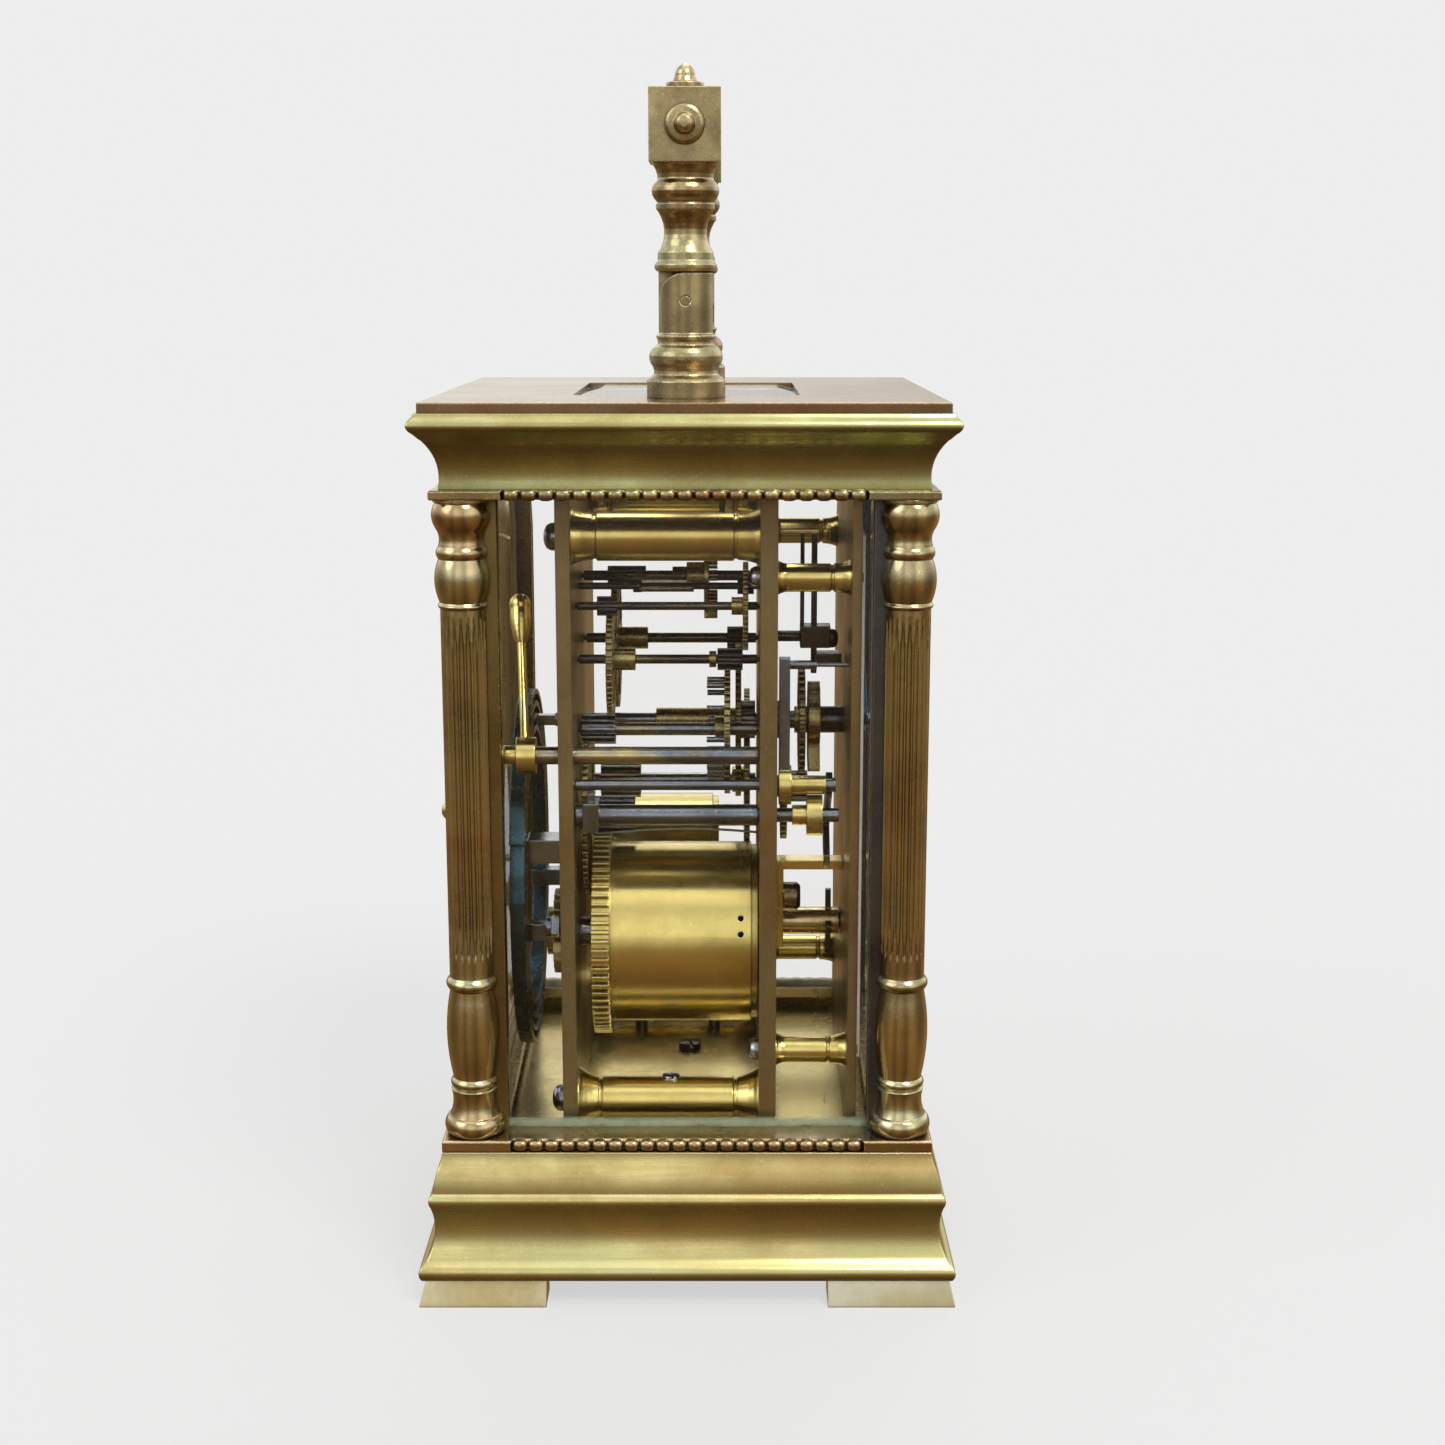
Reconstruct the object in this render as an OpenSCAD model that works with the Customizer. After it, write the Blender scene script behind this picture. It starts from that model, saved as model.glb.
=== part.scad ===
// Carriage clock with a corner-column brass case, bevelled glass, a folding handle
// and a two-train striking movement. Front faces -Y, +Z is up, units are millimetres.

/* [Case] */
// Half width minus half depth of every moulding
side_extra = 5; // [4.5:0.25:6]
// Height of the four turned columns
column_h = 107.3; // [105:0.1:110]
// Half depth of the feet where they stand
foot_half = 45.15; // [44.5:0.05:46]
// Half depth of the cornice lip
cornice_half = 43.5; // [43:0.1:45]
// Thickness of the glass panes
glass_t = 2; // [1.8:0.1:2]

/* [Handle] */
// Distance of each handle post from the middle
post_x = 30.5; // [28:0.5:33]
// Side of the square blocks at the ends of the grip
block_side = 11.4; // [10:0.2:12]
// Radius of the hinged part of the post
knuckle_r = 4.4; // [4:0.1:4.6]

/* [Movement] */
// Half width of the movement plates
plate_half = 36.6; // [36.4:0.1:37]
// Thickness of the back plate
plate_t = 2.4; // [2:0.1:2.6]
// Sideways distance of each spring barrel from the middle
barrel_x = 18.2; // [18.1:0.1:18.6]
// Height of the centre of the dial
dial_z = 90.7; // [90.2:0.1:91.2]
// Height of the barrel centres
barrel_z = 56.6; // [56.3:0.1:56.9]

/* [Hidden] */
$fn = 48;
brass = "#b08d3c";
aged_brass = "#7d6230";
copper_brass = "#6d4426";
bright_brass = "#c9a94a";
steel = "#7b7f86";
dark_steel = "#3b3a40";
blue_steel = "#1f4a78";
clear_glass = "#cfe0dd";
cut = 0.01;

// Heights of the case
foot_h = 4.6;
floor_z = 24;
floor_t = 3;
moulding_top = 26;
column_z = 28;
band_z = column_z + column_h;
band_t = 1.55;
cornice_z = band_z + band_t;
cornice_top = band_z + 13.7;
top_t = 1.7;
top_z = cornice_top + top_t;
bead_low_half = 41.1;
bead_top_half = 40.6;
top_half = 41.85;
column_y = 36;
column_x = column_y + side_extra + 0.1;
well_y = 31;
well_x = 37.4;
window_y = 19;
window_x = 23.5;
fit = 0.05;

// Glass planes, inner face first
side_glass_x = 38.3;
front_glass_y = 33.2;
slot_depth = 2;
slot_post_x = 35.5;
slot_post_y = 30.4;
base_screw_x = column_x - 0.5;
base_screw_y = column_y - 0.4;

// Movement planes along Y
back_in = 18.9;
front_in = -12.1;
front_t = 2.9;
front_out = front_in - front_t;
dial_back = -27.1;
dial_front = -28.7;
plate_top = band_z + 1.9;
pillar_x = 30;
pillar_top_z = band_z - 7.6;
pillar_low_z = 29.85;
pivot_r = 0.45;
pivot_len = 1.6;

// A point at distance d and angle a from p
function polar(p, d, a) = p + d * [cos(a), sin(a)];
// The point at distances r1 from p and r2 from q that lies on the left going from p to q
function meet(p, q, r1, r2) = let (v = q - p, d = norm(v), t = (d * d + r1 * r1 - r2 * r2) / (2 * d),
    h = sqrt(r1 * r1 - t * t)) p + t * v / d + h * [-v[1], v[0]] / d;
function heading(p, q) = atan2(q[1] - p[1], q[0] - p[0]);
function pitch_r(teeth, m) = teeth * m / 2;
// Phase of a follower so that its gap meets a tooth of the driver across the line of centres
function mesh_phase(a, phase, teeth, next) = a + 180 + 180 / next - (phase - a) * teeth / next;
// Points of a swelling or hollow stretch of a turned outline, from p (left out) to q
function swell(p, q, sag, n = 5) = let (d = (q - p) / norm(q - p))
    [for (i = [1:n]) p + (q - p) * i / n + [d[1], -d[0]] * sag * 4 * (i / n) * (1 - i / n)];

// Tooth counts and modules, as driver and pinion
great_teeth = 70;
great_m = 0.5;
big_pinion = 12;
second_teeth = 66;
centre_teeth = 64;
centre_m = 0.42;
leaf_pinion = 8;
third_teeth = 68;
third_m = 0.36;
contrate_teeth = 60;
contrate_r = 7.1;
escape_pinion_r = contrate_r * leaf_pinion / contrate_teeth;
strike_second_teeth = 60;
strike_second_m = 0.45;
mid_pinion = 10;
pin_teeth = 54;
pin_m = 0.4;
locking_teeth = 54;
locking_m = 0.35;
warning_teeth = 48;
warning_m = 0.3;
cannon_teeth = 12;
minute_teeth = 36;
minute_m = 0.5;
minute_pinion = 10;
hour_teeth = 40;
hour_m = 0.48;

// Centres in the plane of the plates, as [x, z]
going_c = [barrel_x, barrel_z];
strike_c = [-barrel_x, barrel_z];
centre_c = [0, dial_z];
intermediate_c = meet(centre_c, going_c, pitch_r(second_teeth + big_pinion, great_m),
    pitch_r(great_teeth + big_pinion, great_m));
third_c = polar(centre_c, pitch_r(centre_teeth + leaf_pinion, centre_m), 66.3);
contrate_c = [0, third_c[1] + sqrt(pow(pitch_r(third_teeth + leaf_pinion, third_m), 2) - pow(third_c[0], 2))];
second_c = polar(strike_c, pitch_r(great_teeth + big_pinion, great_m), 85);
pin_c = polar(second_c, pitch_r(strike_second_teeth + mid_pinion, strike_second_m), 95);
locking_c = polar(pin_c, pitch_r(pin_teeth + leaf_pinion, pin_m), 93);
warning_c = polar(locking_c, pitch_r(locking_teeth + leaf_pinion, locking_m), 114);
fly_c = polar(warning_c, pitch_r(warning_teeth + leaf_pinion, warning_m), 15);
minute_c = polar(centre_c, pitch_r(cannon_teeth + minute_teeth, minute_m), -104);
hammer_c = [-32, 91.2];
lifting_c = [-33, 81.2];
rack_c = [-33, 86.4];
alarm_c = [0, 53.1];
going_click_c = polar(going_c, 11, 20);
strike_click_c = polar(strike_c, 11, 160);

// Puts a child at [x, z] on the plane y with its own Z running towards the front
module facing_front(p, y = back_in) {
    translate([p[0], y, p[1]]) rotate([90, 0, 0]) children();
}

// A rod along Y between two planes
module rod(p, r, y_back, y_front) {
    facing_front(p, y_back) cylinder(r = r, h = y_back - y_front);
}

// A turned shape along Y from an outline of [radius, distance towards the front]
module turned_y(p, y_back, outline) {
    facing_front(p, y_back) rotate_extrude() polygon(outline);
}

// A box from its low corner to its high corner
module block(low, high) {
    translate(low) cube(high - low);
}

// Solid bounded front, back and sides by one moulding outline of [half depth, z]
module mitred(outline) {
    last = len(outline) - 1;
    depth = concat(outline, [for (i = [last:-1:0]) [-outline[i][0], outline[i][1]]]);
    width = [for (p = depth) [p[0] + sign(p[0]) * side_extra, p[1]]];
    intersection() {
        rotate([90, 0, 90]) translate([0, 0, -60]) linear_extrude(120) polygon(depth);
        rotate([90, 0, 0]) translate([0, 0, -60]) linear_extrude(120) polygon(width);
    }
}

function gear_points(teeth, m, phase) = [for (i = [0:teeth - 1]) let (a = phase + i * 360 / teeth)
    each [for (c = [[-0.24, -1.1], [-0.13, 0.85], [0.13, 0.85], [0.24, -1.1]])
        (pitch_r(teeth, m) + c[1] * m) * [cos(a + c[0] * 360 / teeth), sin(a + c[0] * 360 / teeth)]]];

function window_points(r_in, r_out, a0, a1) = concat(
    [for (i = [0:6]) let (a = a0 + (a1 - a0) * i / 6) r_out * [cos(a), sin(a)]],
    [for (i = [3:-1:0]) let (a = a0 + (a1 - a0) * i / 3) r_in * [cos(a), sin(a)]]);

// A toothed wheel along Y, its back face at y_back; spokes = 0 leaves it solid
module wheel(p, teeth, m, y_back, t, phase = 0, spokes = 5) {
    rim = pitch_r(teeth, m) - 1.1 * m - max(1, 2.2 * m);
    hub = max(1.8, pitch_r(teeth, m) * 0.2);
    facing_front(p, y_back) difference() {
        linear_extrude(t) polygon(gear_points(teeth, m, phase));
        if (spokes > 0)
            for (i = [0:spokes - 1])
                translate([0, 0, -1])
                    linear_extrude(t + 2)
                        polygon(window_points(hub, rim, i * 360 / spokes + 9, (i + 1) * 360 / spokes - 9));
    }
}

// A small toothed pinion along Y
module pinion(p, teeth, m, y_back, y_front, phase = 0) {
    facing_front(p, y_back) linear_extrude(y_back - y_front) polygon(gear_points(teeth, m, phase));
}

// An arbor between the plates with a pivot in each plate
module arbor(p, r) {
    rod(p, r, back_in - 0.3, front_in + 0.3);
    rod(p, pivot_r, back_in + pivot_len, front_in - pivot_len);
}

// ---------------------------------------------------------------- case

module bracket_feet() {
    inner = 7;
    color(aged_brass) difference() {
        mitred([[foot_half, 0], [foot_half - 1.15, foot_h]]);
        block([inner - foot_half - side_extra, inner - foot_half, -1],
            [foot_half + side_extra - inner, foot_half - inner, foot_h + 1]);
        block([-26, -60, -1], [26, 60, foot_h + 1]);
        block([-60, -23.7, -1], [60, 23.7, foot_h + 1]);
    }
}

module base_moulding() {
    outline = concat([[44.75, foot_h]], swell([44.75, foot_h], [44.6, 7.1], 0.45, 5),
        [[44.0, 7.5]], swell([44.0, 7.5], [42.75, 15.6], -0.75, 8), [[43.1, 16.9]],
        swell([43.1, 16.9], [43.1, 18.9], 0.3, 4), [[42.75, 19.2]],
        swell([42.75, 19.2], [41.9, 23.2], 0.12, 4), swell([41.9, 23.2], [41.1, moulding_top], -0.1, 3));
    color(brass) difference() {
        mitred(outline);
        block([-43, -38, 0], [43, 38, 60]);
    }
}

module base_plate() {
    color(brass) difference() {
        block([-43, -38, floor_z - floor_t], [43, 38, floor_z]);
        for (x = [-pillar_x, pillar_x], y = [-4, 10])
            translate([x, y, 0]) cylinder(r = 1.25, h = 60);
        for (x = [-base_screw_x, base_screw_x], y = [-base_screw_y, base_screw_y])
            translate([x, y, 0]) cylinder(r = 1.25, h = 60);
    }
}

// Plain ring of the bead bands, with the sockets of the door pins
module band_ring(half, z, t) {
    difference() {
        mitred([[half, z], [half, z + t]]);
        block([-well_x, -well_y, z - 1], [well_x, well_y, z + t + 1]);
        translate([door_axis_x, door_axis_y, z - 1]) cylinder(r = door_pin_r + fit, h = t + 2);
    }
}

module lower_bead_band() {
    color(copper_brass) difference() {
        band_ring(bead_low_half, moulding_top, column_z - moulding_top);
        for (x = [-base_screw_x, base_screw_x], y = [-base_screw_y, base_screw_y])
            translate([x, y, 0]) cylinder(r = 1.25, h = 60);
    }
}

module upper_bead_band() {
    color(aged_brass) band_ring(bead_top_half, band_z, band_t);
}

// Outline of a column, with the shaft stretched to suit its height
column_outline = concat([[0, 0], [4.5, 0]], swell([4.5, 0], [4.5, 3.2], 0.6), [[4.2, 3.3]],
    swell([4.2, 3.3], [3.9, 7.9], -0.42), [[3.5, 8.2]], swell([3.5, 8.2], [3.5, 9.9], 0.45, 4),
    swell([3.5, 10.1], [3.7, 25.2], 0.8, 8), swell([3.7, 25.4], [3.7, 27.6], 0.6, 4),
    [[3.65, 28.9], [3.65, column_h - 17.8], [3.7, column_h - 17.7]],
    swell([3.7, column_h - 17.7], [3.7, column_h - 15.5], 0.45, 4),
    swell([3.6, column_h - 15.3], [3.7, column_h - 9.7], 0.7, 6),
    swell([3.7, column_h - 9.7], [3.7, column_h - 7.7], 0.4, 4), [[3.75, column_h - 7.5]],
    swell([3.75, column_h - 7.5], [4.2, column_h - 4.7], -0.35, 4),
    swell([4.2, column_h - 4.7], [4.2, column_h - 0.7], 0.55), [[4.5, column_h - 0.5],
    [4.5, column_h], [0, column_h]]);

// A turned column with the square post that holds the glass, at the +X +Y corner
module column(front) {
    difference() {
        union() {
            translate([column_x, column_y, column_z]) rotate_extrude() polygon(column_outline);
            block([slot_post_x, slot_post_y, column_z], [column_x, column_y, band_z]);
        }
        block([side_glass_x - fit, slot_post_y - 1, column_z - 1],
            [side_glass_x + glass_t + fit, slot_post_y + slot_depth, band_z + 1]);
        if (front)
            block([slot_post_x - 1, front_glass_y - fit, column_z - 1],
                [slot_post_x + slot_depth, front_glass_y + glass_t + fit, band_z + 1]);
        translate([base_screw_x, base_screw_y, column_z - 1]) cylinder(r = 1.25, h = 9);
    }
}

module columns() {
    color(copper_brass)
        for (sx = [0, 1], sy = [0, 1])
            mirror([sx, 0, 0]) mirror([0, sy, 0]) column(sy == 1);
}

module cornice() {
    c = cornice_half;
    z = cornice_z;
    outline = concat([[c - 4.35, z], [c - 4.35, z + 0.3]],
        swell([c - 4.35, z + 0.3], [c - 2.1, z + 7.9], -0.95, 8),
        [[c - 1.8, z + 8.1], [c - 1.0, z + 8.9]], swell([c - 1.0, z + 8.9], [c - 0.9, z + 11.6], 0.95, 6),
        [[c - 1.1, cornice_top]]);
    color(brass) difference() {
        mitred(outline);
        block([-39, -34.5, z - 1], [39, 34.5, top_z]);
    }
}

module top_plate() {
    color(copper_brass) difference() {
        mitred([[top_half, cornice_top], [top_half, top_z - 0.15], [top_half - 0.15, top_z]]);
        block([-window_x, -window_y, 0], [window_x, window_y, 200]);
        for (x = [-post_x, post_x])
            translate([x, 0, cornice_top - 1]) cylinder(r = 2 + fit, h = 4);
    }
}

module top_glass() {
    color(clear_glass) block([fit - window_x, fit - window_y, cornice_top + 0.1],
        [window_x - fit, window_y - fit, top_z - 0.1]);
}

module side_glasses() {
    color(clear_glass)
        for (s = [0, 1])
            mirror([s, 0, 0]) block([side_glass_x, fit - slot_post_y - slot_depth, column_z],
                [side_glass_x + glass_t, slot_post_y + slot_depth - fit, band_z]);
}

module front_glass() {
    color(clear_glass) block([fit - slot_post_x - slot_depth, -front_glass_y - glass_t, column_z],
        [slot_post_x + slot_depth - fit, -front_glass_y, band_z]);
}

// Slotted screw standing on its head, shank upwards
module base_screw(shank) {
    difference() {
        union() {
            translate([0, 0, -1.6]) cylinder(r = 2.2, h = 1.6);
            translate([0, 0, -cut]) cylinder(r = 1.2, h = shank);
        }
        block([-3, -0.3, -2], [3, 0.3, -1]);
    }
}

module case_screws() {
    color(steel) {
        for (x = [-base_screw_x, base_screw_x], y = [-base_screw_y, base_screw_y])
            translate([x, y, floor_z - floor_t]) base_screw(13);
        for (x = [-pillar_x, pillar_x], y = [-4, 10])
            translate([x, y, floor_z - floor_t]) base_screw(6);
    }
}

// ---------------------------------------------------------------- handle

hinge_z = top_z + 15.5;
lug_seat = top_z + 10.8;
shoulder_z = hinge_z + knuckle_r + 0.2;
block_z = hinge_z + 21.7;
hinge_pin_r = 0.8;

// Half of the knuckle: a post rounded about the hinge axis; the fixed half keeps its front corner
module knuckle_half(low, high, fixed) {
    intersection() {
        translate([0, 0, low]) cylinder(r = knuckle_r, h = high - low);
        union() {
            translate([-10, 0, hinge_z]) rotate([0, 90, 0]) cylinder(r = knuckle_r, h = 20);
            if (fixed)
                block([-10, -10, low], [10, 10, hinge_z]);
            if (fixed)
                block([-10, -10, low], [10, 0, high]);
            if (!fixed)
                block([-10, -10, hinge_z], [10, 10, high]);
        }
        if (fixed)
            block([0.1, -10, low], [10, 10, high]);
        if (!fixed)
            block([-10, -10, low], [-0.1, 10, high]);
    }
}

socket_outline = concat([[0, -top_t], [2, -top_t], [2, 0], [6.4, 0], [6.4, 2.7], [6.1, 3.1]],
    swell([5.6, 3.2], [5.4, 4.9], -0.3, 3), swell([5.4, 4.9], [5.4, 8.0], 0.6, 5),
    swell([4.9, 8.1], [4.7, 9.4], -0.25, 3), swell([4.5, 9.4], [4.5, 10.2], 0.4, 3),
    [[4.4, 10.3], [4.4, 10.8], [0, 10.8]]);

module handle_sockets() {
    color(aged_brass)
        for (s = [0, 1])
            mirror([s, 0, 0]) translate([post_x, 0, 0]) difference() {
                union() {
                    translate([0, 0, top_z]) rotate_extrude() polygon(socket_outline);
                    knuckle_half(lug_seat - cut, hinge_z + knuckle_r, true);
                }
                translate([-10, 0, hinge_z]) rotate([0, 90, 0]) cylinder(r = hinge_pin_r + fit, h = 20);
            }
}

arm_outline = concat([[0, 0], [4.7, 0]], swell([4.7, 0], [4.7, 1.6], 0.4, 3), [[4.55, 1.7], [4.5, 3.0]],
    swell([4.3, 3.2], [4.3, 9.2], -0.85, 7), [[4.5, 9.5], [4.75, 9.8], [4.75, 10.6], [4.5, 10.8]],
    swell([4.6, 10.9], [4.6, 14.3], 0.85, 6), [[4.5, 14.5]], swell([4.5, 14.5], [5.2, 16.6], -0.2, 3),
    [[5.3, 17.2], [0, 17.2]]);

module handle_arms() {
    color(aged_brass)
        for (s = [0, 1])
            mirror([s, 0, 0]) translate([post_x, 0, 0]) difference() {
                union() {
                    knuckle_half(hinge_z - knuckle_r, shoulder_z + cut, false);
                    translate([0, 0, shoulder_z]) rotate_extrude() polygon(arm_outline);
                    translate([0, 0, block_z + block_side / 2 - 0.2])
                        cube([block_side, block_side, block_side], center = true);
                }
                translate([-10, 0, hinge_z]) rotate([0, 90, 0]) cylinder(r = hinge_pin_r, h = 20);
                translate([-10, 0, grip_z]) rotate([0, 90, 0]) cylinder(r = 1.5, h = 9);
                translate([0, 0, grip_z]) rotate([0, 90, 0]) cylinder(r = 0.9, h = 9);
                translate([0, 0, grip_z + 2.6]) cylinder(r = 0.9, h = 9);
            }
}

grip_z = block_z + block_side / 2 - 0.2;
grip_half = post_x - block_side / 2;
grip_outline = concat([[0, -3], [1.5, -3], [1.5, 0], [4.2, 0], [4.2, 1.0]],
    swell([3.4, 1.2], [3.4, 3.4], 0.5, 4), swell([3.0, 3.6], [3.3, 8.6], -0.2, 4),
    swell([3.3, 8.8], [3.3, 10.4], 0.5, 4), swell([3.1, 10.6], [3.9, grip_half], 0.25, 5), [[0, grip_half]]);

// Turned grip bar between the two blocks, a spigot at each end
module handle_grip() {
    color(aged_brass)
        for (s = [0, 1])
            mirror([s, 0, 0]) translate([grip_half, 0, grip_z]) rotate([0, -90, 0])
                rotate_extrude() polygon(grip_outline);
}

button_outline = concat([[0, -3], [0.9, -3], [0.9, 0], [3.1, 0]], swell([3.1, 0], [2.6, 0.9], 0.25, 3),
    [[1.7, 1.0]], swell([1.7, 1.0], [0.02, 2.5], 0.6, 5), [[0, 2.5]]);
finial_outline = concat([[0, -3], [0.9, -3], [0.9, 0], [3.0, 0], [3.0, 1.0], [2.0, 1.2]],
    swell([1.6, 1.4], [0.4, 3.9], 0.55, 6), [[0, 4.1]]);

module handle_caps() {
    color(brass)
        for (s = [0, 1])
            mirror([s, 0, 0]) {
                translate([post_x + block_side / 2, 0, grip_z]) rotate([0, 90, 0])
                    rotate_extrude() polygon(button_outline);
                translate([post_x, 0, grip_z + block_side / 2]) rotate_extrude() polygon(finial_outline);
            }
}

module handle_pins() {
    color(steel)
        for (x = [-post_x, post_x])
            translate([x - knuckle_r + 0.1, 0, hinge_z]) rotate([0, 90, 0])
                cylinder(r = hinge_pin_r, h = 2 * knuckle_r - 0.2);
}

// ---------------------------------------------------------------- rear door

door_axis_x = 33.6;
door_axis_y = 34.3;
door_half_t = 1.3;
door_left = -35.2;
door_low = column_z + 0.3;
door_high = band_z - 0.3;
door_bar = 3.5;
door_pin_r = 0.8;
door_groove = 1;

module door_pane(grow) {
    low = [door_left + door_bar - door_groove, door_axis_y - 0.7, door_low + door_bar - door_groove];
    high = [door_axis_x - door_bar + 1.3 + door_groove, door_axis_y + 0.7,
        door_high - door_bar + door_groove];
    block(low - grow * [1, 1, 1], high + grow * [1, 1, 1]);
}

module door_frame() {
    color(brass) difference() {
        union() {
            block([door_left, door_axis_y - door_half_t, door_low],
                [door_axis_x, door_axis_y + door_half_t, door_high]);
            translate([door_axis_x, door_axis_y, door_low])
                cylinder(r = door_half_t, h = door_high - door_low);
        }
        block([door_left + door_bar, 0, door_low + door_bar],
            [door_axis_x - door_bar + 1.3, 60, door_high - door_bar]);
        door_pane(fit);
        for (z = [door_low - 1, door_high - 3])
            translate([door_axis_x, door_axis_y, z]) cylinder(r = door_pin_r, h = 4);
        translate([door_left + knob_inset, door_axis_y, knob_z]) rotate([-90, 0, 0]) cylinder(r = 0.8, h = 5);
    }
}

module door_glass() {
    color(clear_glass) door_pane(0);
}

knob_z = 82;
knob_inset = 1.6;
knob_outline = concat([[0, -1], [0.8, -1], [0.8, 0], [1.6, 0], [1.6, 0.5], [0.9, 0.8], [0.8, 2.2]],
    swell([0.8, 2.2], [0.7, 5.6], 1.2, 8), [[0, 5.7]]);

module door_knob() {
    color(bright_brass) translate([door_left + knob_inset, door_axis_y + door_half_t, knob_z])
        rotate([-90, 0, 0]) rotate_extrude() polygon(knob_outline);
}

module door_hinge_pins() {
    color(steel) {
        translate([door_axis_x, door_axis_y, column_z - 1.2]) cylinder(r = door_pin_r, h = 4.5);
        translate([door_axis_x, door_axis_y, door_high - 3]) cylinder(r = door_pin_r, h = 4.5);
    }
}

// ---------------------------------------------------------------- movement frame

// Every arbor that pivots in both plates
pivots = [intermediate_c, third_c, contrate_c, second_c, pin_c, locking_c, warning_c, fly_c];
// Arbors that pass through: centre, radius and whether front or back
big_holes = [[going_c, 2.5], [strike_c, 2.5]];

module plate_holes(y0, y1) {
    for (p = pivots)
        rod(p, pivot_r + fit, y1 + 1, y0 - 1);
}

module back_plate() {
    color(brass) difference() {
        block([-plate_half, back_in, floor_z], [plate_half, back_in + plate_t, plate_top]);
        plate_holes(back_in, back_in + plate_t);
        for (h = big_holes)
            rod(h[0], h[1] + fit, 30, 0);
        rod(centre_c, 1.2 + fit, 30, 0);
        rod(hammer_c, 1.5 + fit, 30, 0);
        rod(lifting_c, pivot_r + fit, 30, 0);
        rod(rack_c, pivot_r + fit, 30, 0);
        for (p = pillar_points)
            rod(p, 1.5, 30, 0);
        for (p = [going_click_c, strike_click_c])
            rod(p, 0.8 + fit, 30, 0);
        rod(gong_block_c, 1.0, 30, 0);
    }
}

module front_plate() {
    color(brass) difference() {
        union() {
            block([-plate_half, front_out, floor_z], [plate_half, front_in, plate_top]);
            rod(minute_c, 0.9, front_in, -23.5);
        }
        plate_holes(front_out, front_in);
        for (h = big_holes)
            rod(h[0], 1.5 + fit, 0, -20);
        rod(centre_c, 1.2 + fit, 0, -20);
        rod(hammer_c, pivot_r + fit, 0, -20);
        for (p = [lifting_c, rack_c])
            rod(p, 1.2 + fit, 0, -20);
        rod(alarm_c, 1.5 + fit, 0, -20);
        for (p = concat(pillar_points, dial_pillar_points))
            rod(p, 1.0, 0, -20);
    }
}

pillar_points = [for (x = [-pillar_x, pillar_x], z = [pillar_low_z, pillar_top_z]) [x, z]];
dial_pillar_points = [for (x = [-pillar_x, pillar_x], z = [38.8, band_z - 14.4]) [x, z]];

// Movement pillar from plate to plate: flared ends and two rings
function pillar_outline(r, flare, length) = concat([[0, 0], [flare, 0]],
    swell([flare, 0], [r - 0.15, 3.4], -0.2, 4), [[r - 0.35, 3.6], [r - 0.35, 4.0], [r, 4.2],
    [r, length - 4.4], [r - 0.35, length - 4.2], [r - 0.35, length - 3.8], [r - 0.15, length - 3.6]],
    swell([r - 0.15, length - 3.6], [flare, length], -0.2, 4), [[0, length]]);

module movement_pillars() {
    length = back_in - front_in;
    color(bright_brass) {
        for (x = [-pillar_x, pillar_x]) {
            difference() {
                turned_y([x, pillar_low_z], back_in, pillar_outline(3.8, 5.6, length));
                for (y = [-4, 10])
                    translate([x, y, floor_z - 1]) cylinder(r = 1.25, h = 5);
                rod([x, pillar_low_z], 1.2, 30, 13);
                rod([x, pillar_low_z], 1.0, -8, -20);
            }
            difference() {
                turned_y([x, pillar_top_z], back_in, pillar_outline(4.0, 4.7, length));
                rod([x, pillar_top_z], 1.2, 30, 13);
                rod([x, pillar_top_z], 1.0, -8, -20);
            }
        }
    }
}

// Slotted screw with its head towards the back
module pillar_screw(p, y_head, r_head, r_shank, length) {
    difference() {
        union() {
            turned_y(p, y_head + 1.4, [[0, 0], [r_head - 0.4, 0], [r_head, 0.4], [r_head, 1.4], [0, 1.4]]);
            rod(p, r_shank, y_head + cut, y_head - length);
        }
        block([p[0] - 4, y_head + 0.8, p[1] - 0.25], [p[0] + 4, y_head + 3, p[1] + 0.25]);
    }
}

module plate_screws() {
    color(steel) {
        for (p = pillar_points)
            pillar_screw(p, back_in + plate_t, 2.4, 1.2, 7);
        for (p = pillar_points)
            rod(p, 1.0, front_in + 3, front_out);
        for (p = dial_pillar_points)
            pillar_screw(p, front_in, 1.8, 1.0, 5);
    }
}

module dial_pillars() {
    length = front_out - dial_back;
    color(bright_brass)
        for (p = dial_pillar_points)
            difference() {
                turned_y(p, front_out, concat([[0, 0], [2.9, 0]], swell([2.9, 0], [2.35, 1.5], -0.1, 3),
                    [[2.35, length - 3.4], [2.1, length - 3.2], [2.1, length - 2.9], [2.4, length - 2.7]],
                    swell([2.4, length - 2.7], [3.0, length], -0.15, 4), [[0, length]]));
                rod(p, 1.0, 0, front_out - 3);
                rod(p, 0.8, dial_back + 4, -40);
            }
}

module dial_plate() {
    color(brass) {
        difference() {
            block([-plate_half, dial_front, floor_z], [plate_half, dial_back, plate_top]);
            rod(centre_c, 2.6, -20, -40);
            rod(alarm_c, 1.6, -20, -40);
            for (p = dial_pillar_points)
                rod(p, 0.8, -20, -40);
        }
        for (p = dial_pillar_points)
            rod(p, 0.8, dial_back + 3, dial_front - 0.5);
    }
}

// Enamel dial on the front of its plate
module dial() {
    color("white") difference() {
        block([-27.5, dial_front - 0.9, 36.5], [27.5, dial_front, 127.5]);
        rod(centre_c, 2.6, -20, -40);
        rod(alarm_c, 1.6, -20, -40);
    }
}

bracket_nut_z = 60.6;

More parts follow.
